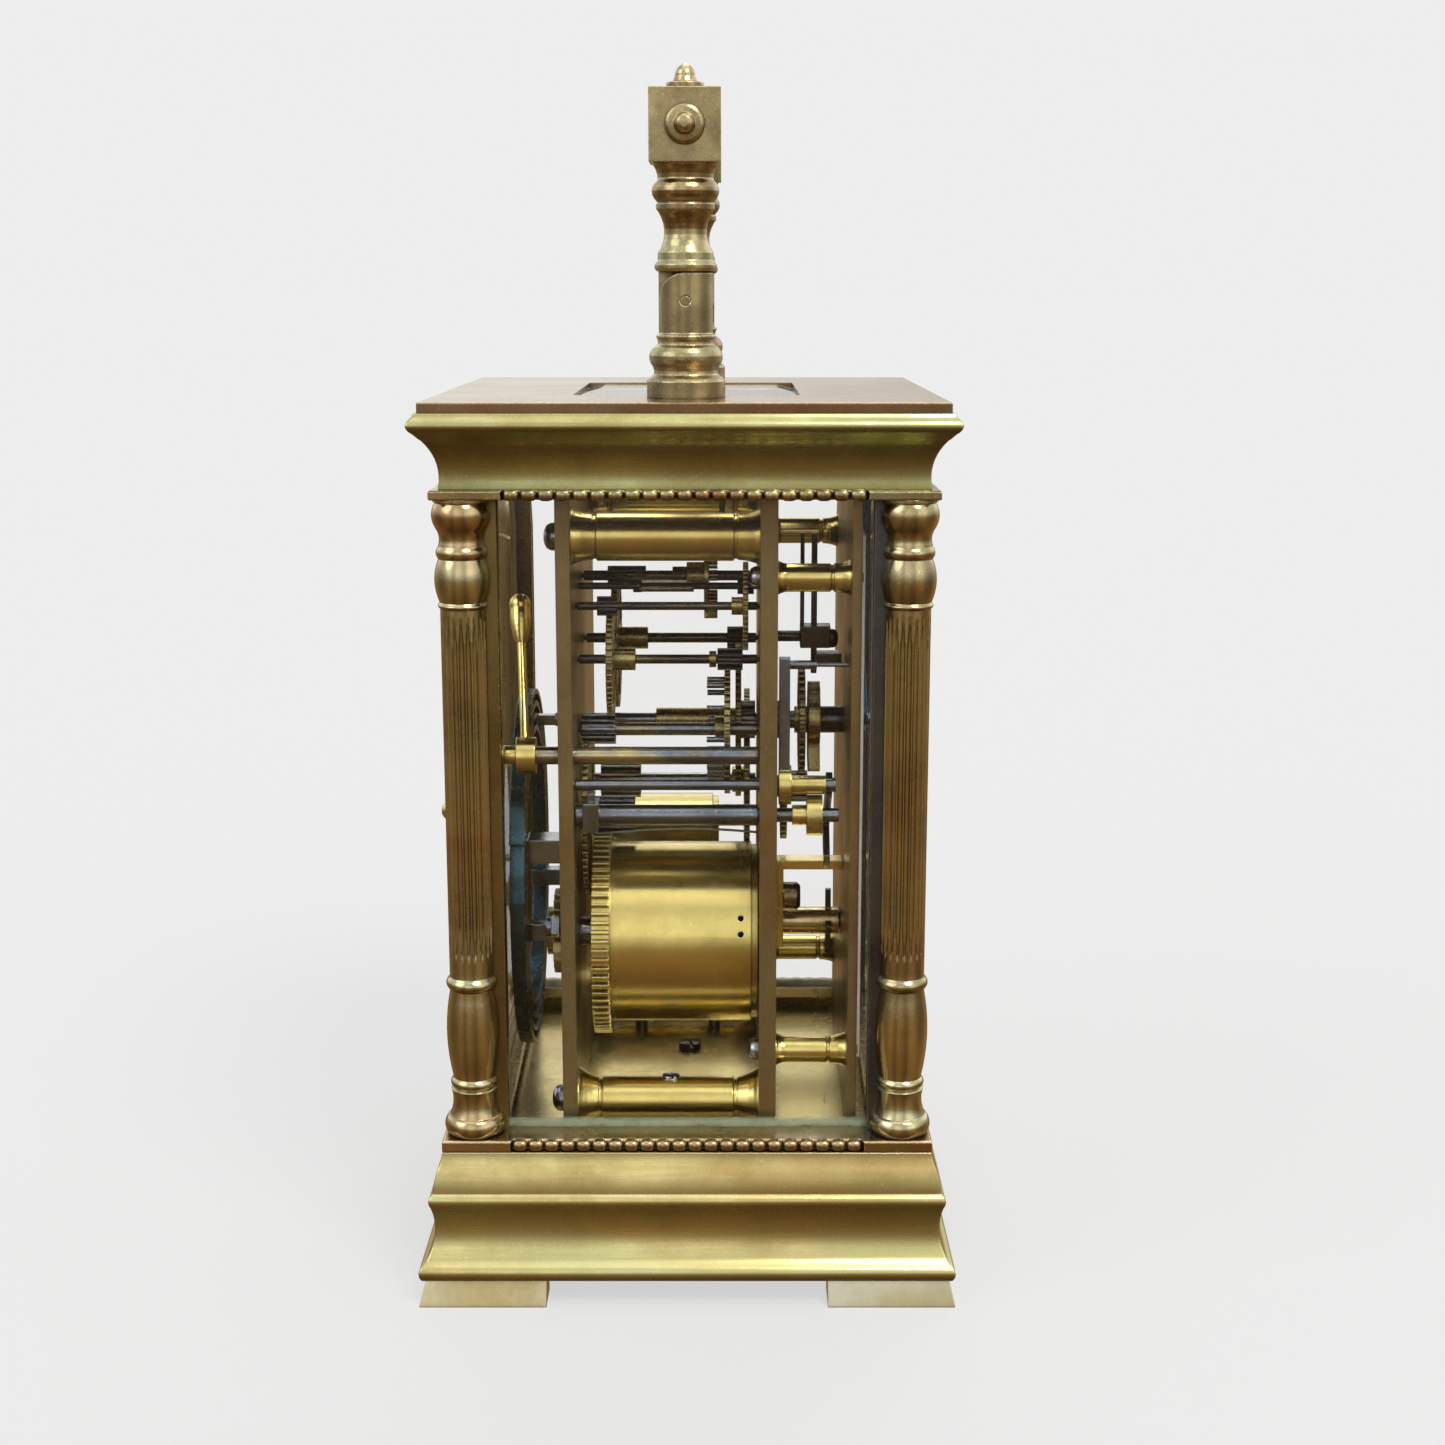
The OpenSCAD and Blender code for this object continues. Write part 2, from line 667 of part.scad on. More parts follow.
// Angle bracket between the front plate and the dial, with its round nut
module dial_bracket() {
    color(bright_brass) difference() {
        union() {
            block([-12, front_out - 1.6, 51.6], [-8, front_out, 67.6]);
            block([-12, -26.9, 66], [-8, front_out, 67.6]);
        }
        rod([-10, bracket_nut_z], 1.2, 0, -40);
    }
    color(dark_steel)
        turned_y([-10, bracket_nut_z], front_out, [[0, 0], [1.2, 0], [1.2, 1.6], [2.5, 1.6],
            [2.5, 4], [1.9, 4.6], [0, 4.6]]);
}

gong_y = 30.2;
gong_c = [0, 63];
gong_r = 24;
gong_pitch = 2.2;
gong_turns = 4;
gong_wire = 0.9;
gong_t = 2.5;
gong_block_c = polar(gong_c, gong_r, 158);

// Flat spiral of flattened blued wire, its inner end at the block
module gong() {
    steps = 40;
    last = gong_turns * steps;
    function coil(i, side) = polar([0, 0], gong_r + gong_pitch * i / steps + side * gong_wire / 2,
        158 + i * 360 / steps);
    inner = [for (i = [0:last]) coil(i, -1)];
    outer = [for (i = [last:-1:0]) coil(i, 1)];
    color(blue_steel) facing_front(gong_c, gong_y) linear_extrude(gong_t) polygon(concat(inner, outer));
}

module gong_block() {
    p = gong_block_c;
    color(steel) {
        block([p[0] - 0.9, back_in + plate_t, p[1] - 1.9], [p[0] + 5.1, gong_y - gong_t, p[1] + 2.2]);
        rod(p + [2, 3.7], 1.6, back_in + plate_t, gong_y - gong_t);
        rod(p + [3.2, 0], 1.3, gong_y + 0.6, gong_y - gong_t - cut);
        rod(p, 1.0, back_in + plate_t + cut, back_in + 0.4);
    }
}

// ---------------------------------------------------------------- platform escapement

platform_z = plate_top;
platform_t = 1.4;
escape_y = -4.8 - escape_pinion_r;
lever_y = escape_y + 6.6;
balance_y = lever_y + 6.4;
escape_z = platform_z + platform_t + 0.7;
lever_z = escape_z + 1.0;
balance_z = lever_z + 1.9;
cock_z = balance_z + 2.0;

module upright(x, y, z0, z1, r) {
    translate([x, y, z0]) cylinder(r = r, h = z1 - z0);
}

module platform() {
    color(bright_brass) difference() {
        block([-19, front_in - 2.5, platform_z], [19, back_in + 2, platform_z + platform_t]);
        upright(0, escape_y, 0, 300, escape_pinion_r + 0.8);
        upright(0, lever_y, 0, 300, 0.3 + fit);
        upright(0, balance_y, 0, 300, 0.4 + fit);
        for (x = [-16, 16], y = [front_in - 1, back_in + 1])
            upright(x, y, 0, 300, 0.7);
    }
}

// Cocks that hold the upper pivots, on feet screwed to the platform
module balance_cock() {
    color(bright_brass) difference() {
        union() {
            block([-2.2, balance_y - 1, cock_z], [2.2, back_in + 1.5, cock_z + 1.2]);
            upright(0, balance_y, cock_z, cock_z + 1.2, 2.2);
            block([-2.2, back_in - 1.8, platform_z + platform_t], [2.2, back_in + 1.5, cock_z + 0.1]);
            block([-14, escape_y - 1.2, lever_z + 0.9], [-2, escape_y + 1.2, lever_z + 1.7]);
            block([-3, escape_y - 1.2, lever_z + 0.9], [1, escape_y + 1.2, lever_z + 1.7]);
            block([-14, escape_y - 1.2, platform_z + platform_t], [-11.5, escape_y + 1.2, lever_z + 1]);
        }
        upright(0, escape_y, 0, 300, 0.3 + fit);
        upright(0, balance_y, 0, 300, 0.4 + fit);
    }
}

escape_teeth = 15;
escape_points = [for (i = [0:escape_teeth - 1]) let (a = i * 24) each
    [3.3 * [cos(a), sin(a)], 4.4 * [cos(a + 5), sin(a + 5)], 4.4 * [cos(a + 8), sin(a + 8)],
    3.3 * [cos(a + 9), sin(a + 9)]]];

// Long upright arbor: pinion in the contrate teeth below, club-toothed wheel above the platform
module escape_wheel() {
    low = contrate_c[1] + contrate_r - 1;
    color(steel) {
        translate([0, escape_y, low]) linear_extrude(2.4)
            polygon(gear_points(leaf_pinion, 2 * escape_pinion_r / leaf_pinion, 0));
        upright(0, escape_y, low - 0.6, escape_z + 1.2, 0.5);
        upright(0, escape_y, escape_z, lever_z + 1.6, 0.3);
    }
    color(bright_brass) translate([0, escape_y, escape_z]) difference() {
        linear_extrude(0.5) polygon(escape_points);
        for (i = [0:3])
            translate([0, 0, -1]) linear_extrude(3)
                polygon(window_points(1.2, 2.6, i * 90 + 14, i * 90 + 76));
    }
}

module pallet_lever() {
    color(steel) {
        translate([0, lever_y, lever_z]) difference() {
            linear_extrude(0.7) polygon([[-3.4, -1.4], [-2.6, -2.0], [-1.6, 0.1], [1.6, 0.1], [2.6, -2.0],
                [3.4, -1.4], [2.3, 1.1], [0.7, 1.4], [0.5, 4.2], [1.0, 5.2], [0.6, 5.4], [0, 4.6],
                [-0.6, 5.4], [-1.0, 5.2], [-0.5, 4.2], [-0.7, 1.4], [-2.3, 1.1]]);
        }
        upright(0, lever_y, platform_z + 0.2, lever_z + 1.4, 0.3);
    }
}

module balance_wheel() {
    color(bright_brass) translate([0, balance_y, balance_z]) {
        difference() {
            cylinder(r = 7.6, h = 0.9);
            translate([0, 0, -1]) cylinder(r = 6.7, h = 3);
        }
        block([-6.9, -0.5, 0], [6.9, 0.5, 0.9]);
        for (a = [30:60:330])
            rotate([0, 0, a]) translate([7.4, 0, 0.45]) rotate([0, 90, 0]) cylinder(r = 0.4, h = 1);
    }
    color(steel) {
        upright(0, balance_y, platform_z + 0.2, cock_z + 1, 0.4);
        upright(0, balance_y, lever_z + 1.0, lever_z + 1.6, 1.6);
    }
}

// ---------------------------------------------------------------- hands and motion work

module centre_arbor() {
    color(steel) {
        rod(centre_c, 1.2, 24, -14.9);
        facing_front(centre_c, 27.3) translate([-0.9, -0.9, 0]) cube([1.8, 1.8, 4]);
        rod(centre_c, 1.6, -15.2, -30.9);
        rod(centre_c, 1.1, -14, -32);
        pinion(centre_c, cannon_teeth, minute_m, -15.4, -17.8, 0);
    }
}

module minute_wheel() {
    a = heading(centre_c, minute_c);
    phase = mesh_phase(a, 0, cannon_teeth, minute_teeth);
    color(brass) difference() {
        union() {
            wheel(minute_c, minute_teeth, minute_m, -16.1, 1.1, phase, 4);
            rod(minute_c, 2.0, -15.2, -18);
        }
        rod(minute_c, 0.9 + fit, 0, -40);
    }
    color(steel) difference() {
        pinion(minute_c, minute_pinion, hour_m, -17.2, -20.9, 0);
        rod(minute_c, 0.9 + fit, 0, -40);
    }
}

// Hour wheel on its long pipe, with the twelve-step snail of the strike
module hour_wheel() {
    a = heading(minute_c, centre_c);
    phase = mesh_phase(a, 0, minute_pinion, hour_teeth);
    snail = [for (i = [0:11]) let (r = 9.4 - i * 0.42) each [for (k = [0, 10, 20, 29.9])
        r * [cos(i * 30 + k + 240), sin(i * 30 + k + 240)]]];
    color(brass) difference() {
        union() {
            wheel(centre_c, hour_teeth, hour_m, -19.3, 1.1, phase, 4);
            facing_front(centre_c, -21) linear_extrude(2.1) polygon(snail);
            rod(centre_c, 2.4, -18.6, -29.9);
        }
        rod(centre_c, 1.6 + fit, 0, -40);
    }
}

function hand_points(length, w) = [[-w, -3], [w, -3], [w * 0.7, length * 0.35],
    [w * 2.2, length * 0.6], [w * 0.8, length * 0.72], [0, length], [-w * 0.8, length * 0.72],
    [-w * 2.2, length * 0.6], [-w * 0.7, length * 0.35]];

module hand(p, y_back, t, length, w, hub, bore, turn) {
    facing_front(p, y_back) difference() {
        union() {
            rotate([0, 0, turn]) linear_extrude(t) polygon(hand_points(length, w));
            cylinder(r = hub, h = t);
        }
        translate([0, 0, -1]) cylinder(r = bore, h = t + 2);
    }
}

module hour_hand() {
    color(blue_steel) hand(centre_c, -29.9, 0.45, 15, 0.7, 3.2, 1.6 + fit, 60);
}

module minute_hand() {
    color(blue_steel) hand(centre_c, -31.2, 0.45, 22, 0.55, 2.2, 1.1, -60);
}

// Alarm-setting hand on its own arbor below the centre
module alarm_hand() {
    color(dark_steel) {
        rod(alarm_c, 1.5, front_in, -30.2);
        rod(alarm_c, 2.5, front_out - 1.6, -26.8);
        facing_front(alarm_c, -24.4) translate([-6, -0.6, 0]) cube([12, 1.2, 1]);
        facing_front(alarm_c, -24.4) translate([-0.6, -6, 0]) cube([1.2, 12, 1]);
        hand(alarm_c, -29.9, 0.5, 6, 0.4, 1.9, 0.5, 20);
    }
}

// ---------------------------------------------------------------- going train

// Spring barrel: toothed great wheel at the back, drum and pressed cap towards the front
module barrel(p, front, phase, holes) {
    difference() {
        union() {
            wheel(p, great_teeth, great_m, 16.3, 3, phase, 0);
            rod(p, 15.7, 13.4, front + 1.1);
            rod(p, 15.2, front + 1.2, front);
        }
        rod(p, 14.5, 12, front + 1.3);
        rod(p, 2.5 + fit, 20, -20);
        for (h = holes)
            translate([p[0], h[0], p[1]]) rotate([0, -90 + h[1], 0]) cylinder(r = 0.5, h = 20);
    }
}

// Barrel arbor: core, winding square behind, ratchet wheel outside the back plate
module winding_arbor(p, front) {
    ratchet = [for (i = [0:23]) each [polar([0, 0], 7.4, i * 15), polar([0, 0], 6.5, i * 15 + 1.5)]];
    color(steel) {
        rod(p, 2.5, 22.2, front_in + 0.3);
        rod(p, 1.5, front_in + 1, front_in - 1.6);
        facing_front(p, 30) translate([-1.5, -1.5, 0]) cube([3, 3, 8]);
        rod(p, 5, 11.5, front + 2);
    }
    color(bright_brass) {
        facing_front(p, 23.4) linear_extrude(1.6) polygon(ratchet);
        rod(p, 4.2, 24.6, 23);
    }
}

// Pawl that rests behind a ratchet tooth, on its own shouldered screw
module click(p, target, side) {
    reach = norm(target - p) - 7.3;
    color(steel) {
        facing_front(p, 23.3) rotate([0, 0, heading(p, target)]) linear_extrude(1.4)
            polygon([[-2, -1.4], [0, -1.9], [reach - 0.3, side * 0.4 - 0.5],
                [reach - 0.3, side * 0.4 + 0.5], [0, 1.9], [-2, 1.4]]);
        rod(p, 0.8, 23, back_in + 0.5);
        rod(p, 1.7, 24.2, 23);
    }
}

going_phase = 0;
going_front = -5;
strike_front = -11.9;

module going_barrel() {
    color(bright_brass) barrel(going_c, going_front, going_phase, []);
}

module going_winding_arbor() {
    winding_arbor(going_c, going_front);
}

module going_click() {
    click(going_click_c, going_c, 1);
}

module strike_click() {
    click(strike_click_c, strike_c, -1);
}

intermediate_phase = mesh_phase(heading(going_c, intermediate_c), going_phase, great_teeth, big_pinion);
centre_phase = mesh_phase(heading(intermediate_c, centre_c), intermediate_phase, second_teeth, big_pinion);
third_phase = mesh_phase(heading(centre_c, third_c), centre_phase, centre_teeth, leaf_pinion);
contrate_phase = mesh_phase(heading(third_c, contrate_c), third_phase, third_teeth, leaf_pinion);

module intermediate_wheel() {
    color(steel) {
        arbor(intermediate_c, 1.2);
        pinion(intermediate_c, big_pinion, great_m, 16.6, 9.3, intermediate_phase);
    }
    color(brass) {
        wheel(intermediate_c, second_teeth, great_m, -9.7, 1, intermediate_phase, 5);
        rod(intermediate_c, 2.4, -7.5, -9.8);
    }
}

// Centre wheel and pinion on a pipe that turns on the centre arbor
module centre_wheel() {
    color(brass) difference() {
        union() {
            wheel(centre_c, centre_teeth, centre_m, -8.1, 1, centre_phase, 5);
            rod(centre_c, 2.1, 6, -9.2);
        }
        rod(centre_c, 1.2 + fit, 30, -30);
    }
    color(steel) difference() {
        pinion(centre_c, big_pinion, great_m, -9.1, -11.6, centre_phase);
        rod(centre_c, 1.2 + fit, 30, -30);
    }
}

module third_wheel() {
    color(dark_steel) {
        arbor(third_c, 0.9);
        pinion(third_c, leaf_pinion, centre_m, -6.6, -10.4, third_phase);
    }
    color(brass) {
        wheel(third_c, third_teeth, third_m, 13.8, 1.1, third_phase, 5);
        rod(third_c, 2.0, 12.8, 7.6);
    }
}

// Crown wheel whose teeth stand towards the front and drive the upright escape pinion
module contrate_wheel() {
    tooth = 360 / contrate_teeth;
    color(dark_steel) {
        arbor(contrate_c, 0.9);
        pinion(contrate_c, leaf_pinion, third_m, 14.4, 7.7, contrate_phase);
        rod(contrate_c, 1.6, 3, 0.5);
    }
    color(brass) {
        rod(contrate_c, 2.4, 0.5, -2.7);
        facing_front(contrate_c, -2.6) difference() {
            union() {
                cylinder(r = contrate_r + 0.5, h = 0.8);
                for (i = [0:contrate_teeth - 1])
                    rotate([0, 0, i * tooth + 90 + tooth / 2]) translate([contrate_r - 0.5, 0, 0])
                        linear_extrude(2.3) polygon([[0, -0.12], [1, -0.12], [1, 0.12], [0, 0.12]]);
            }
            for (i = [0:3])
                translate([0, 0, -1]) linear_extrude(3)
                    polygon(window_points(2.6, contrate_r - 1.2, i * 90 + 10, i * 90 + 80));
        }
    }
}

// ---------------------------------------------------------------- strike train

second_phase = mesh_phase(heading(strike_c, second_c), 0, great_teeth, big_pinion);
pin_phase = mesh_phase(heading(second_c, pin_c), second_phase, strike_second_teeth, mid_pinion);
locking_phase = mesh_phase(heading(pin_c, locking_c), pin_phase, pin_teeth, leaf_pinion);
warning_phase = mesh_phase(heading(locking_c, warning_c), locking_phase, locking_teeth, leaf_pinion);
fly_phase = mesh_phase(heading(warning_c, fly_c), warning_phase, warning_teeth, leaf_pinion);

module strike_barrel() {
    color(bright_brass) barrel(strike_c, strike_front, 0, [[-9, 24], [-9, 14]]);
}

module strike_winding_arbor() {
    winding_arbor(strike_c, strike_front);
}

module strike_second_wheel() {
    color(steel) {
        arbor(second_c, 1.3);
        pinion(second_c, big_pinion, great_m, 16.6, 9.3, second_phase);
    }
    color(brass) wheel(second_c, strike_second_teeth, strike_second_m, 17.9, 0.9, second_phase, 5);
}

module pin_wheel() {
    color(steel) {
        arbor(pin_c, 1.1);
        pinion(pin_c, mid_pinion, strike_second_m, 18.3, 12.5, pin_phase);
        for (a = [0:36:324])
            rod(polar(pin_c, 8.6, a), 0.5, -3.2, -6.4);
    }
    color(brass) {
        wheel(pin_c, pin_teeth, pin_m, -6.2, 1, pin_phase, 0);
        rod(pin_c, 2.2, -4.6, -6.3);
    }
}

module locking_wheel() {
    color(dark_steel) {
        arbor(locking_c, 0.8);
        pinion(locking_c, leaf_pinion, pin_m, -5, -9.3, locking_phase);
    }
    color(brass) {
        wheel(locking_c, locking_teeth, locking_m, 13.7, 1.1, locking_phase, 5);
        rod(locking_c, 1.9, 12.8, 9);
        rod(locking_c, 1.4, -3.6, -4.8);
    }
}

module warning_wheel() {
    color(dark_steel) {
        arbor(warning_c, 0.7);
        pinion(warning_c, leaf_pinion, locking_m, 15.2, 11.8, warning_phase);
    }
    color(brass) {
        wheel(warning_c, warning_teeth, warning_m, -9.3, 0.9, warning_phase, 5);
        rod(warning_c, 1.5, -7.4, -9.4);
    }
}

// Air brake of the strike: a thin vane on the last arbor
module fly() {
    color(dark_steel) {
        arbor(fly_c, 0.6);
        pinion(fly_c, leaf_pinion, warning_m, -8.4, -11.2, fly_phase);
        rod(fly_c, 1.1, 9.4, 8);
        block([fly_c[0] - 5, -1, fly_c[1] - 0.25], [fly_c[0] + 5, 8.2, fly_c[1] + 0.25]);
    }
}

// ---------------------------------------------------------------- strike levers

rack_arm = 20.4;

// Toothed rack in front of the plate, with a steel arm and its pin, on a brass hub
module strike_rack() {
    teeth = [for (i = [11:-1:0])
        each [polar([0, 0], 20, i * 2.6 - 59), polar([0, 0], 19, i * 2.6 - 60)]];
    arm = [[-1.2, 1.2], [1.2, 1.9], polar([0, 0], 19, -31)];
    back = [polar([0, 0], 16.8, -60), polar([0, 0], 16.4, -50), polar([0, 0], 16.8, -38), [1.2, -1.9]];
    color(steel) {
        rod(rack_c, 1.2, front_in - 0.3, -24.8);
        rod(rack_c, pivot_r, back_in + pivot_len, -12);
        rod(rack_c, 0.9, back_in - 0.3, -13);
        facing_front(rack_c, -23.2) linear_extrude(1.1) polygon(concat(arm, teeth, back));
        facing_front(rack_c, front_out - 0.3) linear_extrude(1.8)
            polygon([[-1.8, 0], [1.8, 0], [1.4, 15], [1.0, rack_arm + 1.2], [-1.0, rack_arm + 1.2],
                [-1.4, 15]]);
        rod(rack_c + [0, rack_arm], 0.75, front_out - 2, front_out - 6.5);
        rod(rack_c + [0, rack_arm], 0.35, front_out - 6.4, dial_back + 0.3);
    }
    color(bright_brass) {
        rod(rack_c, 3.3, front_out - 0.3, front_out - 2.4);
        rod(rack_c, 1.6, front_out - 2.4, -23.2);
    }
}

// Lifting piece: thick arbor between the plates, steel block at the back, hub in front
module lifting_lever() {
    color(steel) {
        rod(lifting_c, 1.8, back_in - 0.3, front_in + 0.3);
        rod(lifting_c, pivot_r, back_in + pivot_len, 10);
        rod(lifting_c, 1.2, 0, -25.4);
        block([lifting_c[0] - 2.4, 14.8, lifting_c[1] - 2.4], [lifting_c[0] + 2.4, 17.4, lifting_c[1] + 2.4]);
        block([lifting_c[0] - 1, 15.4, lifting_c[1]], [lifting_c[0] + 1, 16.6, lifting_c[1] + 3.8]);
    }
    color(bright_brass) {
        rod(lifting_c, 1.7, front_out - 2.6, front_out - 5);
        rod(lifting_c, 3.4, front_out - 5, front_out - 7.6);
    }
}

hammer_hub_y = 27;
hammer_lean = 62;
hammer_reach = 28.2;
hammer_head = concat([[0, 0], [0.9, 0]], swell([0.9, 0], [1.75, 6.0], 0.35, 6),
    swell([1.75, 6.0], [0.3, 8.7], 0.75, 6), [[0, 8.8]]);

// Strike hammer: arbor with tail between the plates, hub, rod and pear-shaped head behind
module hammer() {
    color(steel) {
        rod(hammer_c, 1.5, 25.4, front_in + 0.3);
        rod(hammer_c, pivot_r, 0, front_in - pivot_len);
        facing_front(hammer_c, -3.4) rotate([0, 0, -18]) translate([0, -0.7, 0]) cube([4.6, 1.4, 1.6]);
    }
    color(bright_brass) {
        rod(hammer_c, 1.7, 30.6, 28.4);
        rod(hammer_c, 3.1, 28.5, 25.2);
        translate([hammer_c[0], hammer_hub_y, hammer_c[1]]) rotate([-3, 90 - hammer_lean, 0]) {
            cylinder(r = 0.75, h = hammer_reach - 7.4);
            translate([0, 0, hammer_reach - 8.4]) rotate_extrude() polygon(hammer_head);
        }
    }
}

bracket_feet();
base_moulding();
base_plate();
lower_bead_band();
columns();
upper_bead_band();
cornice();
top_plate();
top_glass();
side_glasses();
front_glass();
case_screws();
handle_sockets();
handle_arms();
handle_grip();
handle_caps();
handle_pins();
door_frame();
door_glass();
door_knob();
door_hinge_pins();
back_plate();
front_plate();
movement_pillars();
plate_screws();
dial_pillars();
dial_plate();
dial();
dial_bracket();
gong();
gong_block();
platform();
balance_cock();
centre_arbor();
minute_hand();
minute_wheel();
hour_wheel();
hour_hand();
alarm_hand();
going_barrel();
going_winding_arbor();
intermediate_wheel();
centre_wheel();
third_wheel();
contrate_wheel();
escape_wheel();
pallet_lever();
balance_wheel();
strike_barrel();
strike_winding_arbor();
strike_second_wheel();
pin_wheel();
locking_wheel();
warning_wheel();
fly();
strike_rack();
lifting_lever();
hammer();
going_click();
strike_click();
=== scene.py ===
"""Looks of the carriage clock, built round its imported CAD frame.

Shapes are worked out in millimetres, and piece() turns them into Blender's metres."""

import math

import bmesh
import bpy
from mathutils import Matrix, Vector


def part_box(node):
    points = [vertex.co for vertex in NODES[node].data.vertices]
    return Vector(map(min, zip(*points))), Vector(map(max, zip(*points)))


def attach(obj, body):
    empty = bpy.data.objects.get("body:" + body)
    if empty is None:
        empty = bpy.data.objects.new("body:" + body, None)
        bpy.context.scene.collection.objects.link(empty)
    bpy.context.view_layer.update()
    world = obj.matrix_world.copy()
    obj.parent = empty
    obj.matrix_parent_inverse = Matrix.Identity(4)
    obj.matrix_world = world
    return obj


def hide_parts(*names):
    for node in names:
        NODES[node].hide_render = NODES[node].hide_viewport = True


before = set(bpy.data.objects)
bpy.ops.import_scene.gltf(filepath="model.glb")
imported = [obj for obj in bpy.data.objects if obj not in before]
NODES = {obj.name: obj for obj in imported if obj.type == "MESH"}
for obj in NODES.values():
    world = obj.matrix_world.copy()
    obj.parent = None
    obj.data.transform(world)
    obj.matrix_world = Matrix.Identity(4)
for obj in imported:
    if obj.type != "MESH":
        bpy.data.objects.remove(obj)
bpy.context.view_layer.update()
MM = 0.001


def span(node):
    """Lowest and highest corner of a CAD node in millimetres."""
    low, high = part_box(node)
    return low / MM, high / MM


def middle(node):
    """Where the axis of a round node lies in the plane of the plates."""
    low, high = span(node)
    return (low.x + high.x) / 2, (low.z + high.z) / 2


# ---------------------------------------------------------------- camera, light and floor

# Place in metres, tip in degrees, lens and sensor in millimetres
CAMERA_PLACE = (-0.384, -0.00594, 0.16861)
CAMERA_TIP = 11.53
CAMERA_LENS = 53.4
CAMERA_SENSOR = 36

# Grey of the backdrop; radius of the floor in metres, its grey and the light it gives to match the backdrop
PALE = 0.85
FLOOR_RADIUS = 30
FLOOR_ALBEDO, FLOOR_GLOW = 0.16, 0.6

# Tones of the room from straight down (0) to straight up (1), then from the front (0) to the back (1)
ROOM_TONES = [(0.0, (0.10, 0.05, 0.02)), (0.36, (0.33, 0.20, 0.08)), (0.46, (0.40, 0.30, 0.17)),
              (0.52, (0.75, 0.74, 0.70)), (0.60, (1.45, 1.45, 1.38)), (0.74, (1.2, 1.2, 1.14)),
              (0.86, (0.7, 0.7, 0.68)), (1.0, (1.9, 1.9, 1.85))]
WINDOW_TONES = [(0.0, (0.5, 0.5, 0.5)), (0.12, (1.3, 1.3, 1.3)), (0.24, (1.2, 1.2, 1.2)),
                (0.34, (0.62, 0.6, 0.58)), (0.44, (0.78, 0.76, 0.74)), (0.52, (1.0, 1.0, 1.0)),
                (0.64, (1.15, 1.15, 1.15)), (0.74, (0.58, 0.58, 0.6)), (0.86, (1.2, 1.2, 1.25)),
                (1.0, (0.5, 0.5, 0.52))]

# Lamps far off: azimuth (0 front, 90 the clock's right side), elevation, strength, spread, colour
LAMPS = {
    "key": (-55, 50, 1.6, 24, (1.0, 0.98, 0.94)),
    "fill": (-150, 35, 0.7, 40, (0.94, 0.97, 1.0)),
    "rim": (80, 55, 0.8, 30, (1.0, 0.99, 0.97)),
}


def make_camera():
    """Camera level with the upper glass on the clock's left side, tipped down a little."""
    camera = bpy.data.objects.new("camera", bpy.data.cameras.new("camera"))
    bpy.context.scene.collection.objects.link(camera)
    camera.location = CAMERA_PLACE
    camera.rotation_euler = (math.radians(90 - CAMERA_TIP), 0, math.radians(-90))
    camera.data.sensor_width = CAMERA_SENSOR
    camera.data.lens = CAMERA_LENS
    camera.data.clip_start = 0.01
    bpy.context.scene.camera = camera


def room_ramp(tree, direction, tones):
    """Colour ramp read along one part of a direction, which runs from -1 to 1."""
    spread = tree.nodes.new("ShaderNodeMapRange")
    spread.inputs["From Min"].default_value = -1
    ramp = tree.nodes.new("ShaderNodeValToRGB")
    stops = ramp.color_ramp.elements
    for i, (at, colour) in enumerate(tones):
        stop = stops[i] if i < 2 else stops.new(at)
        stop.position = at
        stop.color = (*colour, 1)
    tree.links.new(direction, spread.inputs["Value"])
    tree.links.new(spread.outputs[0], ramp.inputs[0])
    return ramp.outputs["Color"]


def make_world():
    """Pale studio for the eye; whatever is seen in a gloss is a room of windows over a warm floor."""
    world = bpy.data.worlds.new("studio")
    world.use_nodes = True
    bpy.context.scene.world = world
    tree = world.node_tree
    tree.nodes.clear()
    pale = tree.nodes.new("ShaderNodeBackground")
    pale.inputs["Color"].default_value = (PALE, PALE, PALE, 1)
    room = tree.nodes.new("ShaderNodeBackground")
    place = tree.nodes.new("ShaderNodeTexCoord")
    parts = tree.nodes.new("ShaderNodeSeparateXYZ")
    tree.links.new(place.outputs["Generated"], parts.inputs[0])
    bands = tree.nodes.new("ShaderNodeMix")
    bands.data_type = "RGBA"
    bands.blend_type = "MULTIPLY"
    bands.inputs[0].default_value = 1
    tree.links.new(room_ramp(tree, parts.outputs["Z"], ROOM_TONES), bands.inputs[6])
    tree.links.new(room_ramp(tree, parts.outputs["Y"], WINDOW_TONES), bands.inputs[7])
    tree.links.new(bands.outputs[2], room.inputs["Color"])
    path = tree.nodes.new("ShaderNodeLightPath")
    mix = tree.nodes.new("ShaderNodeMixShader")
    out = tree.nodes.new("ShaderNodeOutputWorld")
    tree.links.new(path.outputs["Glossy Depth"], mix.inputs[0])
    tree.links.new(pale.outputs[0], mix.inputs[1])
    tree.links.new(room.outputs[0], mix.inputs[2])
    tree.links.new(mix.outputs[0], out.inputs["Surface"])


def make_lamps():
    """Soft suns all round."""
    for name, (azimuth, elevation, strength, spread, colour) in LAMPS.items():
        light = bpy.data.lights.new(name, "SUN")
        light.energy = strength
        light.angle = math.radians(spread)
        light.color = colour
        sun = bpy.data.objects.new(name, light)
        bpy.context.scene.collection.objects.link(sun)
        sun.rotation_euler = (math.radians(90 - elevation), 0, math.radians(azimuth))


